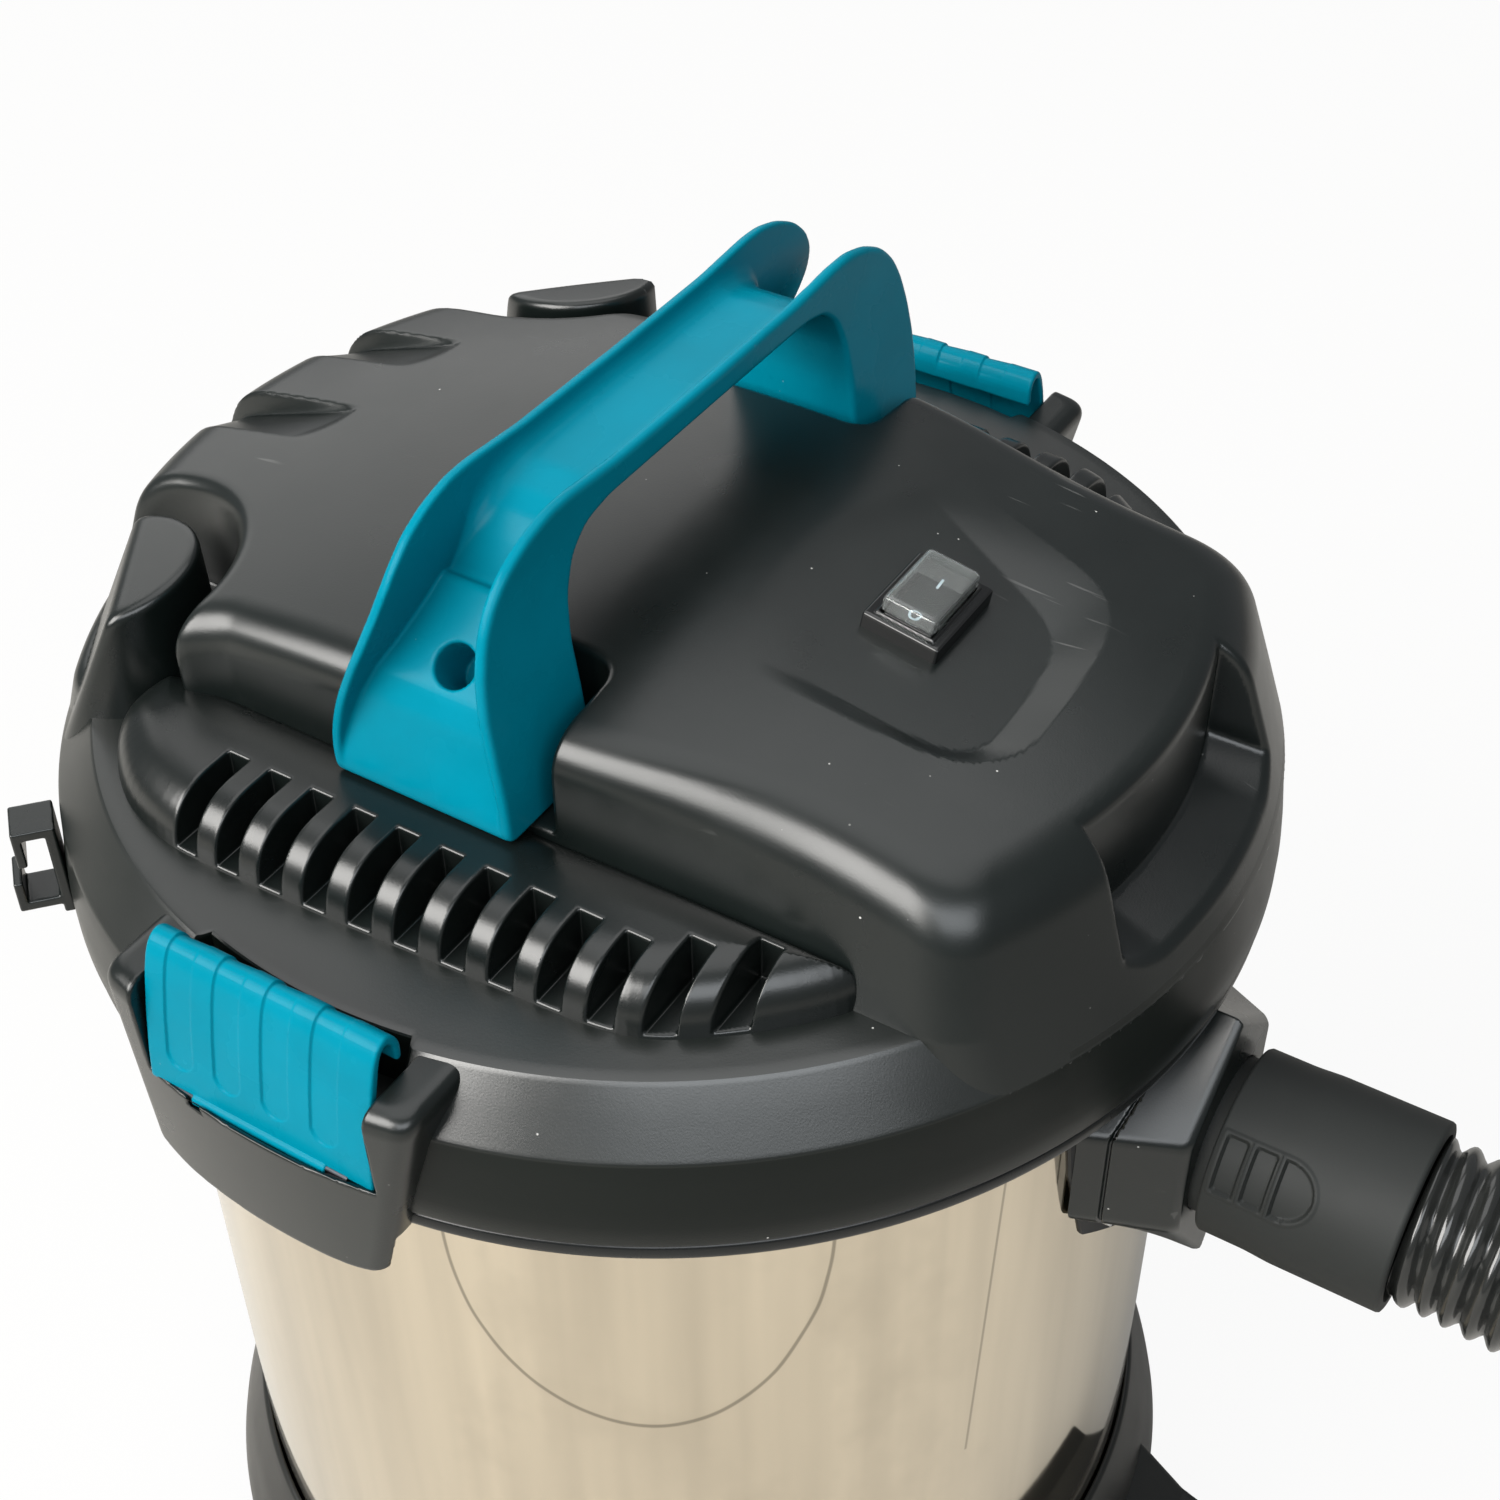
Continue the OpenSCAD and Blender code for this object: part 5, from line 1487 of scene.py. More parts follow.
@dataclass
class Switch:
    """Rocker switch with its bezel and clear splash cover, on the leaning panel."""

    width: float = 29.0
    depth: float = 21.5
    bezel: float = 5.0
    opening: tuple[float, float] = (23.6, 14.8)
    cover: tuple[float, float, float] = (23.9, 15.0, 4.95)
    skin: float = 0.55
    key: tuple[float, float, float] = (10.9, 6.9, 1.4)
    vee: float = 0.075
    ring_at: float = -6.6
    bar: tuple[float, float, float] = (3.7, 6.9, 0.32)
    ring_radii: tuple[float, float] = (1.15, 1.75)
    ring_points: int = 40
    swing: float = 16.0
    tilt: float = 10.0
    place: tuple[float, float, float] = (0.0, -76.0, 417.94)

    def tilted(self, points: Array) -> Array:
        """Carries points of the switch's own frame to the leaning panel.

        Args:
            points: Points, one to a row.

        Returns:
            The points in the part's frame.
        """
        c, s = direction(self.tilt)
        x, y, z = points[:, 0], points[:, 1], points[:, 2]
        return np.stack([x, y * c - z * s, y * s + z * c], 1) + np.array(self.place)

    def local(self, x: Array, y: Array, z: Array) -> tuple[Array, Array, Array]:
        """Coordinates carried to the switch's own frame.

        Args:
            x: X of the points.
            y: Y of the points.
            z: Z of the points.

        Returns:
            The three coordinates there.
        """
        c, s = direction(self.tilt)
        v, w = y - self.place[1], z - self.place[2]
        return x, v * c + w * s, w * c - v * s

    def body(self, x: Array, y: Array, z: Array) -> Array:
        """Distance to bezel and box: a raised frame with a low lip round the opening.

        Args:
            x: X of the points.
            y: Y of the points.
            z: Z of the points.

        Returns:
            The distance, negative inside.
        """
        x, y, z = self.local(x, y, z)
        w, d = self.width / 2, self.depth / 2
        frame_box = box_distance(x, y, z, (-w, -d, -3.0), (w, d, self.bezel - 0.5), 0.9)
        lip = box_distance(x, y, z, (-w + 1.9, -d + 2.5, 0.0), (w - 1.9, d - 2.5, self.bezel), 0.5)
        box = box_distance(x, y, z, (-w + 1.3, -d + 1.3, -20.0), (w - 1.3, d - 1.3, 0.5), 0.6)
        hole = box_distance(
            x,
            y,
            z,
            (-self.opening[0] / 2, -self.opening[1] / 2, -8.0),
            (self.opening[0] / 2, self.opening[1] / 2, 20.0),
            0.5,
        )
        return soft_max(np.minimum(np.minimum(frame_box, lip), box), -hole, 0.4)

    def rocker(self, x: Array, y: Array, z: Array) -> Array:
        """Distance to the rocker: a block with a shallow V on top, turned on its pin.

        Args:
            x: X of the points.
            y: Y of the points.
            z: Z of the points.

        Returns:
            The distance, negative inside.
        """
        x, y, z = self.local(x, y, z)
        z = z - self.bezel + 1.5
        t = math.radians(-self.swing / 2)
        u, w = x * math.cos(t) - z * math.sin(t), x * math.sin(t) + z * math.cos(t)
        along, across, crown = self.key
        out, top = np.abs(u) - along, crown + self.vee * np.abs(u)
        d = soft_max((w - top) * 0.99, soft_max(out, np.abs(y) - across, 0.9), 0.7)
        return soft_max(d, np.maximum(-5.0 - w, (-1.0 - w + out * -0.5) * 0.85), 0.4)

    def clear(self, x: Array, y: Array, z: Array) -> Array:
        """Distance to the clear cover, hollow from below.

        Args:
            x: X of the points.
            y: Y of the points.
            z: Z of the points.

        Returns:
            The distance, negative inside.
        """
        x, y, z = self.local(x, y, z)
        a, b, h = self.cover[0] / 2, self.cover[1] / 2, self.cover[2]
        out = box_distance(x, y, z, (-a, -b, self.bezel + 0.02), (a, b, self.bezel + h), 1.5)
        t = self.skin
        inside = box_distance(
            x, y, z, (-a + t, -b + t, self.bezel - 3.0), (a - t, b - t, self.bezel + h - t), 1.0
        )
        return soft_max(out, -inside, 0.2)

    def marks(self) -> tuple[Array, Array]:
        """Bar and ring of the on and off marks, laid just above the rocker's top.

        Returns:
            Points and quads.
        """
        t = math.radians(-self.swing / 2)
        m = self.ring_points
        a = full_turn(m)[0]
        ring = [np.stack([self.ring_at + r * np.cos(a), r * np.sin(a)], 1) for r in self.ring_radii]
        near, far, half = self.bar
        flat = np.vstack([*ring, [(near, -half), (far, -half), (far, half), (near, half)]])
        low = np.column_stack([flat, self.key[2] + 0.02 + self.vee * np.abs(flat[:, 0])])
        p = np.vstack([low, low + [0.0, 0.0, 0.06]])
        n = len(flat)
        k, k1 = np.arange(m), (np.arange(m) + 1) % m
        b, b1 = 2 * m + np.arange(4), 2 * m + (np.arange(4) + 1) % 4
        quads = [
            np.stack(side, 1)
            for side in (
                (n + m + k, n + m + k1, n + k1, n + k), (k, k1, m + k1, m + k), (k, k1, n + k1, n + k),
                (n + m + k, n + m + k1, m + k1, m + k), (b, b1, n + b1, n + b),
            )
        ]
        quads.append(np.stack([n + b, b[::-1]]))
        u, w = p[:, 0], p[:, 2]
        turned = np.column_stack(
            [u * math.cos(t) + w * math.sin(t), p[:, 1], w * math.cos(t) - u * math.sin(t) + self.bezel - 1.5]
        )
        return self.tilted(turned), np.vstack(quads)

    def build(self, kit: "Materials") -> None:
        """Makes bezel, rocker with marks, and cover.

        Args:
            kit: The finishes.
        """
        low, high = (-16.0, -95.0, 394.0), (16.0, -56.0, 431.0)
        dress(
            moulded("switch_bezel", self.body, low, high, 0.4),
            kit["switch"],
            Place.HEAD,
            ["switch_body"],
        )
        dress(
            moulded("switch_key", self.rocker, (-13.0, -86.0, 411.0), (13.0, -66.0, 427.0), 0.3),
            kit["switch"],
            Place.ROCKER,
            ["switch_rocker"],
        )
        points, quads = self.marks()
        dress(
            write_mesh("switch_marks", points, quads, crease=30.0),
            kit["mark"],
            Place.ROCKER,
            [],
        )
        dress(
            moulded("splash_cover", self.clear, (-13.5, -88.0, 418.0), (13.5, -64.0, 431.0), 0.25),
            kit["clear"],
            Place.HEAD,
            ["switch_cover"],
        )


# ---------------------------------------------------------------- inlet, cuff and grip


@dataclass
class Inlet:
    """Six-sided inlet block on the drum's front, under the rim."""

    axis_z: float = 281.5
    front: float = 173.9
    tip: float = 44.0
    side: float = 26.0
    low: float = 52.0
    root: float = 45.0
    drum_r: float = 150.0
    bore: float = 22.05
    root_y: float = 130.0
    shoulder: tuple[float, float] = (21.0, 20.0)
    waist: tuple[float, float] = (-12.0, -14.0)
    foot_drop: float = 4.0
    under_rim_r: float = 156.9
    joint_r: float = 157.6

    def shape(self, x: Array, y: Array, z: Array) -> Array:
        """Distance to the block.

        Its outline goes evenly from the broad root on the drum to the narrow front. It is the soft maximum of
        slanted planes, one for each side of the outline, so that the facets meet in slightly rounded edges.

        Args:
            x: X of the points.
            y: Y of the points.
            z: Z of the points.

        Returns:
            The distance, negative inside.
        """
        w = z - self.axis_z
        a = np.abs(x)
        t = np.clip((-y - self.root_y) / (self.front - self.root_y), 0.0, 1.2)
        wide = self.root + (self.side - self.root) * t
        shoulder = self.shoulder[0] + (self.shoulder[1] - self.shoulder[0]) * t
        waist = self.waist[0] + (self.waist[1] - self.waist[0]) * t
        foot = self.low + self.foot_drop - self.foot_drop * t
        up = ((self.tip - w) * wide - (self.tip - shoulder) * a) / length(wide, self.tip - shoulder)
        down = ((foot + w) * wide - (foot + waist) * a) / length(wide, foot + waist)
        slant = 19.0 / 44.0
        d = soft_max(soft_max((a - wide) / math.hypot(1.0, slant), -up * 0.97, 1.6), -down * 0.96, 1.6)
        d = soft_max(d, -self.front - y, 0.5)
        chamfer = d + (-y - self.front + 2.6) * 0.72
        d = soft_max(d, chamfer, 0.8)
        d = soft_max(d, self.drum_r + 0.9 - length(x, y), 0.4)
        under_rim = soft_max(length(x, y) - self.under_rim_r, RIM_Z - 12.4 - z, 0.4)
        d = soft_max(d, -under_rim, 0.4)
        joint = np.abs(length(x, y) - self.joint_r) - 0.35
        groove = soft_max(joint, -d - 0.9, 0.2)
        d = soft_max(d, -groove, 0.3)
        bore = length(x, w) - self.bore
        return soft_max(d, -bore, 0.6)

    def build(self, kit: "Materials") -> None:
        """Makes the block."""
        piece = moulded("inlet_housing", self.shape, (-48, -176, 222), (48, -143, 328), (0.75, 0.6, 0.75))
        dress(piece, kit["shell"], Place.TANK, ["inlet_block"])


@dataclass
class Cuff:
    """Hose cuff with three sunk fields on one side, plugged into the inlet."""

    start: float = 176.0
    length: float = 51.0
    radius: float = 26.5
    bore: float = 18.6
    spigot: float = 22.0
    axis_z: float = 281.5
    mark_angle: float = 147.0
    fields: tuple[tuple[float, float, bool], ...] = (
        (2.6, 8.8, False), (10.6, 16.8, False), (18.6, 28.6, True)
    )
    field_half: float = 8.4
    field_depth: float = 1.1
    border: float = 0.32
    columns: int = 420

    def relief(self, run: Array, turn: Array) -> Array:
        """Height of the moulded fields: sunk floors with thin raised borders.

        Args:
            run: Distance from the cuff's inner end.
            turn: Distance along the circumference from the fields' middle line.

        Returns:
            Millimetres above the plain cuff.
        """
        total = np.zeros(np.broadcast(run, turn).shape)
        for low, high, is_round in self.fields:
            if is_round:
                reach = length(np.maximum(run - low - 1.6, 0.0), turn)
                inside = np.minimum(run - low, self.field_half - reach)
            else:
                inside = soft_min(soft_min(run - low, high - run, 0.8), self.field_half - np.abs(turn), 0.8)
            edge = self.border * ease((inside + 1.3) / 0.5) * ease(-inside / 0.35 + 0.9)
            total = total - self.field_depth * ease(inside / 0.7) + edge
        return total

    def build(self, kit: "Materials") -> None:
        """Turns the cuff about its axis along Y, with the relief on its outer skin.

        Args:
            kit: The finishes.
        """
        s0, s1 = self.start, self.start + self.length
        skin_run = np.linspace(1.0, self.length - 1.0, 130)
        skin_r = self.radius - 0.5 + 0.5 * ease((skin_run - 12.0) / 10.0)
        outer = np.column_stack([skin_r, s0 + skin_run])
        plug = [
            (self.bore, s0 - 37.5), (self.spigot - 0.6, s0 - 37.8), (self.spigot, s0 - 37.2),
            (self.spigot, s0 - 2.0),
            (self.spigot, s0 + 0.2), (self.radius - 1.6, s0 + 0.2), (self.radius - 0.9, s0 + 0.4),
        ]
        mouth = [
            (self.radius - 0.3, s1 - 0.3), (self.radius - 1.0, s1), (self.radius - 3.0, s1), (23.3, s1),
            (23.1, s1 - 0.6),
            (23.1, s1 - 14.0), (self.bore, s1 - 15.0),
        ]
        shape = np.vstack([plug, outer, mouth])
        u = full_turn(self.columns)
        r = np.broadcast_to(shape[:, 0][:, None], (len(shape), self.columns)).copy()
        off = turn_from(np.degrees(u), self.mark_angle)
        r[len(plug) : len(plug) + len(outer)] += self.relief(skin_run[:, None], np.radians(off) * self.radius)
        run = np.broadcast_to(-shape[:, 1][:, None], r.shape)
        p = np.stack([r * np.cos(u), run, r * np.sin(u) + self.axis_z], -1).reshape(-1, 3)
        piece = write_mesh(
            "cuff_sleeve", p, grid_faces(len(shape), self.columns, close_rows=True), crease=50.0
        )
        dress(piece, kit["cuff"], Place.TANK, ["hose_cuff"])


@dataclass
class HandGrip:
    """Hand grip at the hose's far end: a sleeve that narrows to the tool socket, with finger rings."""

    end: tuple[float, float, float] = (352.0, -434.0, 23.0)
    heading: float = 150.0
    length: float = 130.0
    hose_r: float = 22.8
    tip_r: float = 19.0
    bore_r: float = 16.0
    throat_r: float = 14.2
    columns: int = 128

    def build(self, kit: "Materials") -> None:
        """Turns the grip and lays it along its heading.

        Args:
            kit: The finishes.
        """
        h, t, b, end = self.hose_r, self.tip_r, self.bore_r, self.length
        rings = [(t - 0.5 * (1.0 + math.cos(k * math.pi)) * 0.9, 60.0 + 2.0 * k) for k in range(24)]
        neck = [
            (self.throat_r, 0.2), (h - 0.6, 0.1), (h, 0.8), (h, 20.0), (h, 38.5), (h - 0.9, 41.5),
            (t + 0.8, 53.0), (t, 57.0),
        ]
        socket = [
            (t, end - 8.0), (t - 0.2, end - 0.8), (t - 0.9, end - 0.1), (b + 0.7, end - 0.1), (b, end - 0.9),
            (b, end - 45.0), (self.throat_r, end - 47.0),
        ]
        outline = np.array(neck + rings + socket)
        u = full_turn(self.columns)
        r, run = outline[:, 0][:, None], outline[:, 1][:, None]
        c, s = direction(self.heading)
        across, up = r * np.cos(u), r * np.sin(u)
        p = np.stack(
            [self.end[0] + run * c - across * s, self.end[1] + run * s + across * c, self.end[2] + up], -1
        )
        piece = write_mesh(
            "grip_sleeve",
            p.reshape(-1, 3),
            grid_faces(len(outline), self.columns, close_rows=True),
            crease=38.0,
        )
        dress(piece, kit["cuff"], Place.TANK, ["hose_grip"])


# ---------------------------------------------------------------- base and casters


@dataclass
class Base:
    """Black base round the drum's foot: a flared side wall, a floor, and four pods over the casters."""

    drum_r: float = 150.0
    drum_z: float = 62.0
    wall_z: float = 80.0
    out: float = 164.0
    pod_out: float = 190.0
    pod_half: float = 45.0
    pod_top: tuple[float, float, float] = (57.5, 11.5, 3.2)
    pod_runs: tuple[float, float, float] = (159.5, 176.0, 190.0)
    pod_foot: float = 38.05
    stem_r: float = 4.1
    angles: tuple[float, ...] = (-90.0, 0.0, 90.0, 180.0)
    stem_ring: float = 168.0

    def pod(self, x: Array, y: Array, z: Array) -> Array:
        """Distance to the pod that points along +X: a wedge that slopes down and outwards.

        Args:
            x: X of the points.
            y: Y of the points.
            z: Z of the points.

        Returns:
            The distance, negative inside.
        """
        r = length(x, y)
        half = self.pod_half - 3.0 * np.clip((r - 160.0) / 30.0, 0.0, 1.0)
        (top, knee, end), (r0, r1, r2) = self.pod_top, self.pod_runs
        top = (
            top - knee * np.clip((r - r0) / (r1 - r0), 0.0, 1.0)
            - end * np.clip((r - r1) / (r2 - r1), 0.0, 1.0)
        )
        d = soft_max((z - top) * 0.88, np.abs(y) - half, 2.2)
        d = soft_max(d, r - self.pod_out, 4.0)
        d = soft_max(d, 156.0 - r, 0.4)
        d = soft_max(d, self.pod_foot - z, 0.5)
        stem = length(x - self.stem_ring, y) - self.stem_r
        return soft_max(d, -soft_max(stem, z - 46.4, 0.3), 0.4)

    def build(self, kit: "Materials") -> None:
        """Turns wall and floor, and moulds the pods.

        Args:
            kit: The finishes.
        """
        r, o, z = self.drum_r, self.out, self.drum_z
        shape = rounded([
            (60.0, z - 4), (o - 9, z - 4), (o - 4.5, 39.0), (o, 39.0), (o - 1.6, 47.0), (o - 5.6, z),
            (r + 4.6, 73.0), (r + 2.4, self.wall_z - 0.8), (r + 1.3, self.wall_z),
            (r + 0.4, self.wall_z - 0.2), (r + 0.4, z + 0.3), (60.0, z + 0.0),
        ], [0.4, 2.0, 0.8, 1.0, 3.0, 4.0, 3.0, 0.8, 0.8, 0.3, 0.2, 0.4], 4)
        dress(lathe("base_tray", shape, 320), kit["base"], Place.TANK, ["base_skirt"])
        for number, angle in enumerate(self.angles, 1):
            points, faces, normals = skin(self.pod, (152, -48, 36.5), (192.5, 48, 60), (0.9, 1.2, 0.7))
            c, s = direction(angle)
            turn = np.array([[c, s, 0.0], [-s, c, 0.0], [0.0, 0.0, 1.0]])
            piece = write_mesh(f"caster_pod_{number}", points @ turn, faces, normals @ turn)
            dress(piece, kit["base"], Place.TANK, ["base_skirt"])


@dataclass
class Casters:
    """Four swivel casters: fork, axle and a hard wheel with a soft tread."""

    ring: float = 168.0
    angles: tuple[float, ...] = (-90.0, 0.0, 90.0, 180.0)
    trail: float = 10.0
    wheel_r: float = 16.0
    wheel_half: float = 7.0
    cheek: float = 7.5
    fork_t: float = 2.5
    top: float = 37.7
    crown_r: float = 11.0
    stem_r: float = 4.0
    axle_r: float = 2.05

    def fork(self, x: Array, y: Array, z: Array) -> Array:
        """Distance to the fork about its stem: crown disc, two tapered cheeks, and the stem.

        Args:
            x: X of the points.
            y: Y of the points.
            z: Z of the points.

        Returns:
            The distance, negative inside.
        """
        out = self.cheek + self.fork_t
        t, w, top = self.trail, self.wheel_r, self.top
        side = [
            (-8.0, top), (t + 4, top), (t + 6.4, w + 3), (t + 5.4, w - 3.2), (t + 1.5, w - 5.2),
            (t - 2.5, w - 4.6),
            (t - 6.0, w + 2.0), (-8.0, top - 6.0),
        ]
        plate = polygon_distance(y, z, rounded(side, 2.6, 3))
        d = soft_max(plate, np.abs(x) - out, 0.8)
        d = soft_max(d, -soft_max(np.abs(x) - self.cheek, z - top + 3.4, 0.6), 0.4)
        crown = soft_max(length(x, y) - self.crown_r, np.abs(z - top + 1.8) - 1.75, 0.6)
        stem = soft_max(length(x, y) - self.stem_r, np.abs(z - top - 3.4) - 4.6, 0.5)
        d = soft_min(np.minimum(d, stem), crown, 0.4)
        axle = length(y - t, z - w) - self.axle_r
        return soft_max(d, -axle, 0.3)

    def build(self, kit: "Materials") -> None:
        """Makes each caster on its own body.

        Args:
            kit: The finishes.
        """
        w, r = self.wheel_half, self.wheel_r
        tread = rounded(
            [
                (r - 3.2, -w + 0.6), (r - 1.8, -w), (r - 0.2, -w + 1.6), (r, 0.0), (r - 0.2, w - 1.6),
                (r - 1.8, w), (r - 3.2, w - 0.6),
            ],
            [0.2, 1.2, 1.6, 2.0, 1.6, 1.2, 0.2],
            4,
        )
        hub = rounded(
            [
                (2.1, -w), (4.6, -w), (5.2, -w + 1.4), (r - 4.6, -w + 1.8), (r - 3.1, -w + 0.4),
                (r - 3.1, w - 0.4), (r - 4.6, w - 1.8), (5.2, w - 1.4), (4.6, w), (2.1, w),
            ],
            0.5,
            3,
        )
        points, faces, normals = skin(self.fork, (-11.5, -12.5, 8.0), (11.5, 18.5, 47.5), (0.6, 0.6, 0.6))
        for number, angle in enumerate(self.angles, 1):
            c, s = direction(angle)
            at = np.array([self.ring * c, self.ring * s, 0.0])
            dress(
                write_mesh(f"fork_{number}", points + at, faces, normals),
                kit["base"],
                f"caster_{number}",
                [f"caster_fork_{number}"],
            )
            centre = (at[0], at[1] + self.trail, r)
            pin = rounded([(0.05, -10.4), (1.9, -10.4), (1.9, 10.4), (0.05, 10.4)], 0.4, 3)
            dress(
                lathe(f"axle_{number}", pin, 32, centre=centre, axis=0),
                kit["plated"],
                f"caster_{number}",
                [f"caster_axle_{number}"],
            )
            dress(
                lathe(f"tread_{number}", tread, 96, centre=centre, axis=0),
                kit["tread"],
                f"wheel_{number}",
                [f"caster_wheel_{number}"],
            )
            dress(
                lathe(f"hub_{number}", hub, 96, centre=centre, axis=0),
                kit["wheel"],
                f"wheel_{number}",
                [f"caster_wheel_{number}"],
            )


# ---------------------------------------------------------------- cord fittings


@dataclass
class CordFittings:
    """Cord clip on the rear left of the band, and the gland where the mains cord goes in."""

    clip_angle: float = 138.0
    clip_half: float = 6.0
    clip: Outline = (
        (167.3, -1.0), (170.3, -1.0), (170.3, 2.0), (181.3, 2.0), (181.3, 12.0), (178.8, 12.0), (178.8, 5.0),
        (170.3, 5.0),
        (170.3, 26.0), (176.3, 26.0), (176.3, 17.0), (178.8, 17.0), (178.8, 29.0), (170.3, 29.0),
        (167.3, 29.0),
    )
    gland_z: float = 348.0
    gland: Outline = (
        (3.7, 156.9), (6.3, 156.9), (6.4, 167.5), (8.6, 167.6), (8.8, 168.0), (8.8, 170.0), (8.4, 170.5),
        (6.3, 170.7), (6.2, 171.9), (5.0, 172.2), (5.0, 173.1),
        (6.0, 173.3), (6.0, 174.4), (4.9, 174.7), (4.9, 175.6), (5.8, 175.8), (5.8, 176.9), (4.8, 177.2),
        (4.8, 178.3), (3.7, 178.4),
    )

    def hooks(self, x: Array, y: Array, z: Array) -> Array:
        """Distance to the clip: its side section, as wide as the clip, turned to its place.

        Args:
            x: X of the points.
            y: Y of the points.
            z: Z of the points.

        Returns:
            The distance, negative inside.
        """
        c, s = direction(self.clip_angle)
        out, across = x * c + y * s, y * c - x * s
        section = polygon_distance(out, z - RIM_Z, rounded(self.clip, 0.7, 3))
        return soft_max(section, np.abs(across) - self.clip_half, 0.8)

    def build(self, kit: "Materials") -> None:
        """Moulds the clip and turns the gland.

        Args:
            kit: The finishes.
        """
        piece = moulded("cord_hooks", self.hooks, (-140, 106, RIM_Z - 2), (-119, 127, RIM_Z + 30), 0.45)
        dress(piece, kit["shell"], Place.HEAD, ["cord_clip"])
        shape = rounded(self.gland, 0.25, 2)
        dress(
            lathe("cord_sleeve", shape, 64, centre=(0.0, 0.0, self.gland_z), axis=1),
            kit["rubber"],
            Place.HEAD,
            ["cord_gland"],
        )


# ---------------------------------------------------------------- hose


@dataclass
class SuctionHose:
    """Ribbed hose that leaves the cuff, comes down to the floor and lies on it in an open ring."""

    radius: float = 23.0
    rib_pitch: float = 6.3
    rib_depth: float = 3.0
    rows_per_rib: int = 8
    columns: int = 26
    crest: float = 0.62
    plain_run: float = 5.0
    plain_share: float = 0.45
    mouth_share: float = 0.86
    inner_share: float = 0.8
    turn_in: int = 8
    route: tuple[tuple[float, float, float], ...] = (
        (0, -227, 281.5), (0, -245, 281), (0, -287, 276), (0, -333, 259), (0, -375, 232), (0, -410, 197),
        (0, -437, 152), (0, -464, 108), (0, -499, 72), (0, -541, 45),
        (0, -588, 29), (0, -638, 23), (8, -699, 23), (31, -756, 23), (69, -804, 23), (118, -842, 23),
        (174, -865, 23), (235, -873, 23), (296, -865, 23), (352, -842, 23),
        (401, -804, 23), (439, -756, 23), (462, -699, 23), (470, -638, 23), (462, -577, 23), (439, -521, 23),
        (401, -472, 23), (352, -434, 23),
    )

    def centre_line(self) -> Array:
        """Smooth line through the route's points.

        Between two points it is the Catmull-Rom cubic with chord-length knots, resampled so that its points
        are evenly spaced.

        Returns:
            Points in millimetres, eight for each rib.
        """
        p = np.asarray(self.route, float)
        ends = np.vstack([2 * p[0] - p[1], p, 2 * p[-1] - p[-2]])
        t = np.linspace(0.0, 1.0, 80, endpoint=False)[None, :, None]
        p0, p1, p2, p3 = (ends[i : len(ends) - 3 + i][:, None, :] for i in range(4))
        curve = 0.5 * (
            2 * p1 + (p2 - p0) * t + (
                2 * p0 - 5 * p1 + 4 * p2 - p3
            ) * t**2 + (3 * p1 - p0 - 3 * p2 + p3) * t**3
        )
        line = np.vstack([curve.reshape(-1, 3), p[-1]])
        run = np.concatenate([[0.0], np.cumsum(np.linalg.norm(np.diff(line, axis=0), axis=1))])
        count = int(round(run[-1] / self.rib_pitch * self.rows_per_rib)) + 1
        at = np.linspace(0.0, run[-1], count)
        return np.stack([np.interp(at, run, line[:, i]) for i in range(3)], 1)

    def build(self, kit: "Materials") -> None:
        """Sweeps a ribbed circle along the line.

        At distance s and angle a the radius is R - depth * (1 - ridge), where the ridge is a rounded wave of
        s / pitch - a / 2 pi, so that the ribs wind round the hose as a helix.

        Args:
            kit: The finishes.
        """
        line = self.centre_line()
        along = np.gradient(line, axis=0)
        along /= np.linalg.norm(along, axis=1)[:, None]
        across = np.cross([0.001, 0.0, 1.0], along)
        across /= np.linalg.norm(across, axis=1)[:, None]
        above = np.cross(along, across)
        s = np.concatenate([[0.0], np.cumsum(np.linalg.norm(np.diff(line, axis=0), axis=1))])[:, None]
        a = full_turn(self.columns)
        phase = (s / self.rib_pitch - a / (2.0 * np.pi)) * 2.0 * np.pi
        ridge = (0.5 + 0.5 * np.cos(phase)) ** self.crest
        plain = 1.0 - ease(s / self.plain_run) * ease((s[-1] - s) / self.plain_run)
        r = self.radius - 0.15 - self.rib_depth * (1.0 - np.maximum(ridge, self.plain_share * plain))
        spoke = np.cos(a)[..., None] * across[:, None, :] + np.sin(a)[..., None] * above[:, None, :]
        p = line[:, None, :] + r[..., None] * spoke
        rows, columns = p.shape[:2]
        shares = (
            (-1, self.mouth_share),
            (-self.turn_in, self.inner_share),
            (self.turn_in, self.inner_share),
            (0, self.mouth_share),
        )
        inner = [line[at] + share * (p[at] - line[at]) for at, share in shares]
        points = np.concatenate([p.reshape(-1, 3), *inner])
        faces = grid_faces(rows + len(inner), columns)
        faces = faces[faces[:, 0] // columns != rows + 1]
        piece = write_mesh("suction_hose", points, faces, crease=80.0)
        dress(piece, kit["hose"], Place.TANK, ["hose"])
        tuple(v * MM for v in self.route[0])
        float(s[-1, 0]) * MM
        (line[::8] * MM).tolist() + [(line[-1] * MM).tolist()]


# ---------------------------------------------------------------- tank


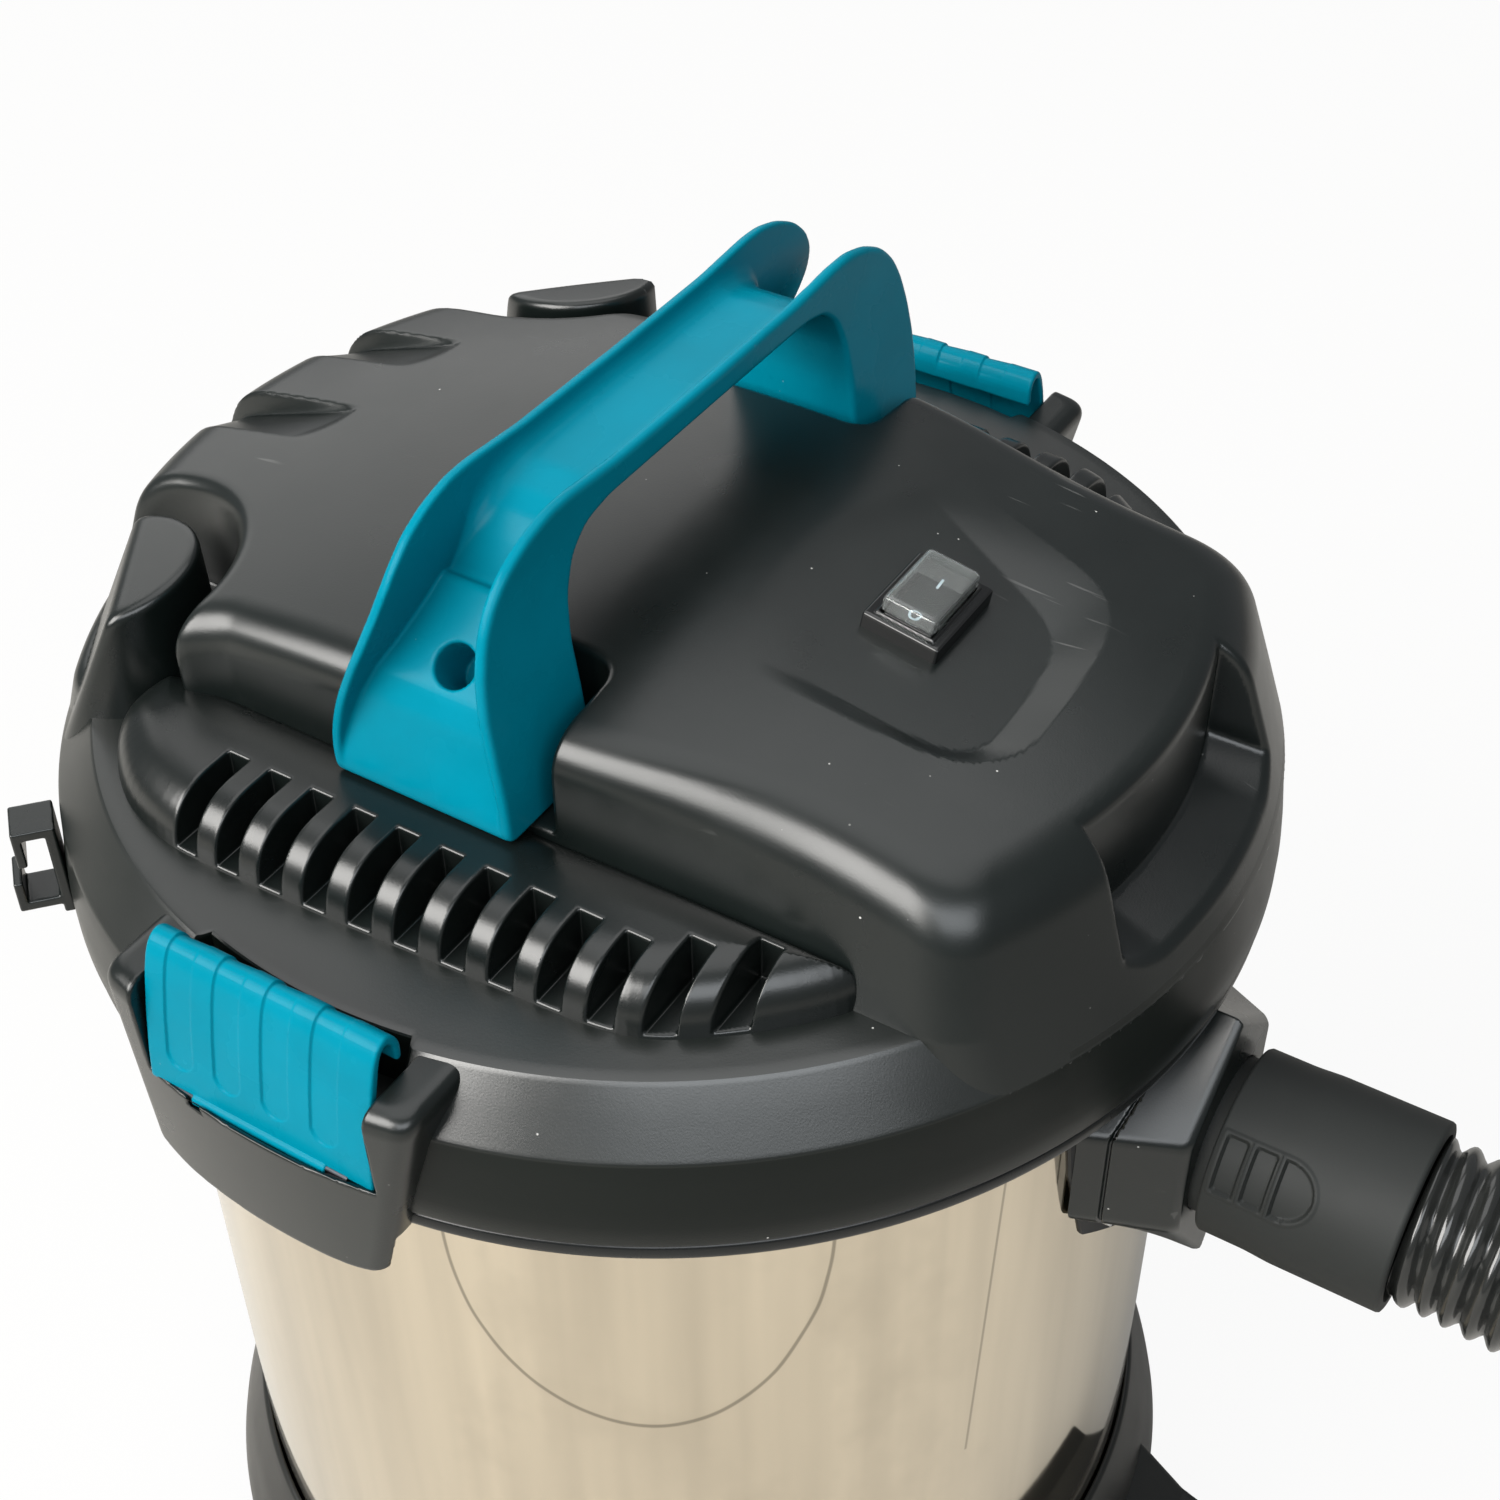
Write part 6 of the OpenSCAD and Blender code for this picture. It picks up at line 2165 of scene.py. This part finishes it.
@dataclass
class Drum:
    """Mirror-polished drum with its rolled bottom edge, and the bead of the rim pressed over its top."""

    radius: float = 150.0
    wall: float = 0.8
    bottom: float = 62.0
    top: float = 350.0
    corner: float = 6.0
    bead_r: float = 166.6

    def build(self, kit: "Materials") -> None:
        """Turns the drum's sheet and the rim.

        Args:
            kit: The finishes.
        """
        r, w, z0, z1, c = self.radius, self.wall, self.bottom, self.top, self.corner
        outer = [
            (0.2, z0), (60.0, z0), (r - c, z0), (r, z0 + c), (r, 110.0), (r, 180.0), (r, 250.0), (r, 300.0),
            (r, z1),
        ]
        inner = [
            (r - w, z1), (r - w, 250.0), (r - w, 110.0), (r - w, z0 + c), (r - c - w / 2, z0 + w),
            (60.0, z0 + w), (0.2, z0 + w),
        ]
        sharp, rolled, lip = 0.01, 4.0, 0.3
        radii = (
            [sharp] * 2 + [rolled] * 2 + [sharp] * 4 + [lip] * 2 + [sharp] * 2 + [rolled] * 2 + [sharp] * 2
        )
        piece = lathe("drum_shell", rounded(outer + inner, radii, 5), 256)
        dress(piece, kit["drum"], Place.TANK, ["drum"])
        z, b = RIM_Z, self.bead_r
        corners = [
            (r + 0.05, z - 12), (r + 2.6, z - 12), (r + 5.8, z - 4), (r + 12.0, z - 2.2), (b - 1.0, z - 2.0),
            (b, z - 1.0),
            (b, z + 2.0), (b - 0.9, z + 3.0), (r + 5, z + 3.0), (r + 5, z1 + 2), (r - w, z1 + 2), (r - w, z1),
            (r + 0.05, z1),
        ]
        rim = rounded(corners, [0.4, 1.0, 2.5, 2.0, 1.4, 1.4, 1.4, 1.2, 0.4, 0.8, 0.8, 0.2, 0.2], 5)
        dress(lathe("rim_bead", rim, 320), kit["bead"], Place.TANK, ["drum_rim"])


class Materials:
    """The finishes, each made once and found by its name."""

    def __init__(self, finishes: Finishes) -> None:
        """Keeps the finishes and starts with none made."""
        self.finishes = finishes
        self.made: dict[str, bpy.types.Material] = {}

    def __getitem__(self, name: str) -> bpy.types.Material:
        """The material of that name, made on its first use.

        Args:
            name: Name of the finish.

        Returns:
            The material.
        """
        if name not in self.made:
            self.made[name] = getattr(self.finishes, name).build()
        return self.made[name]

    def carry_over(self, nodes: dict[str, bpy.types.Object]) -> None:
        """Puts a finish on every CAD node, by what it is made of.

        Args:
            nodes: The CAD nodes by their names.
        """
        for name, node in nodes.items():
            key = next((k for part, k in NODE_FINISH if name.startswith(part)), "shell")
            node.data.materials.clear()
            node.data.materials.append(self[key])


NODE_FINISH: tuple[tuple[str, str], ...] = (
    ("drum_rim", "bead"), ("drum", "drum"), ("base", "base"), ("inlet_gasket", "rubber"),
    ("inlet_screws", "plated"), ("inlet", "shell"),
    ("hose_cuff", "cuff"), ("hose_grip", "cuff"), ("hose", "hose"), ("caster_axle", "plated"),
    ("caster_wheel", "wheel"), ("caster", "base"),
    ("head_seal", "rubber"), ("head_screws", "plated"), ("head", "shell"), ("vent_foam", "foam"),
    ("latch_lever", "teal"), ("latch_pin", "blued"),
    ("handle_screws", "plated"), ("handle", "teal"), ("switch_cover", "clear"), ("switch", "switch"),
    ("fan_housing", "aluminium"),
    ("motor_frame", "aluminium"), ("stator", "core"), ("brush_holders", "brass"), ("bearing", "plated"),
    ("motor_shaft", "plated"),
    ("armature", "core"), ("impeller", "aluminium"), ("motor_gasket", "rubber"),
    ("float_ball", "float_white"), ("float_cage", "shell"),
    ("filter_clamp", "rubber"), ("filter", "foam"), ("cord_gland", "rubber"), ("cord_clip", "shell"),
)


ASSEMBLIES = (Drum, HeadCover, Handle, Lever, Switch, Inlet, Base, Casters, CordFittings)


def main() -> None:
    """Builds the studio and every sub-assembly in order."""
    logging.basicConfig(level=logging.INFO, format="%(message)s")
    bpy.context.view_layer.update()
    kit = Materials(Finishes())
    Studio().build()
    for assembly in (Cuff, HandGrip, SuctionHose):
        assembly().build(kit)
    kit.carry_over(frame["nodes"])
    for assembly in ASSEMBLIES:
        assembly().build(kit)


if __name__ == "__main__":
    main()
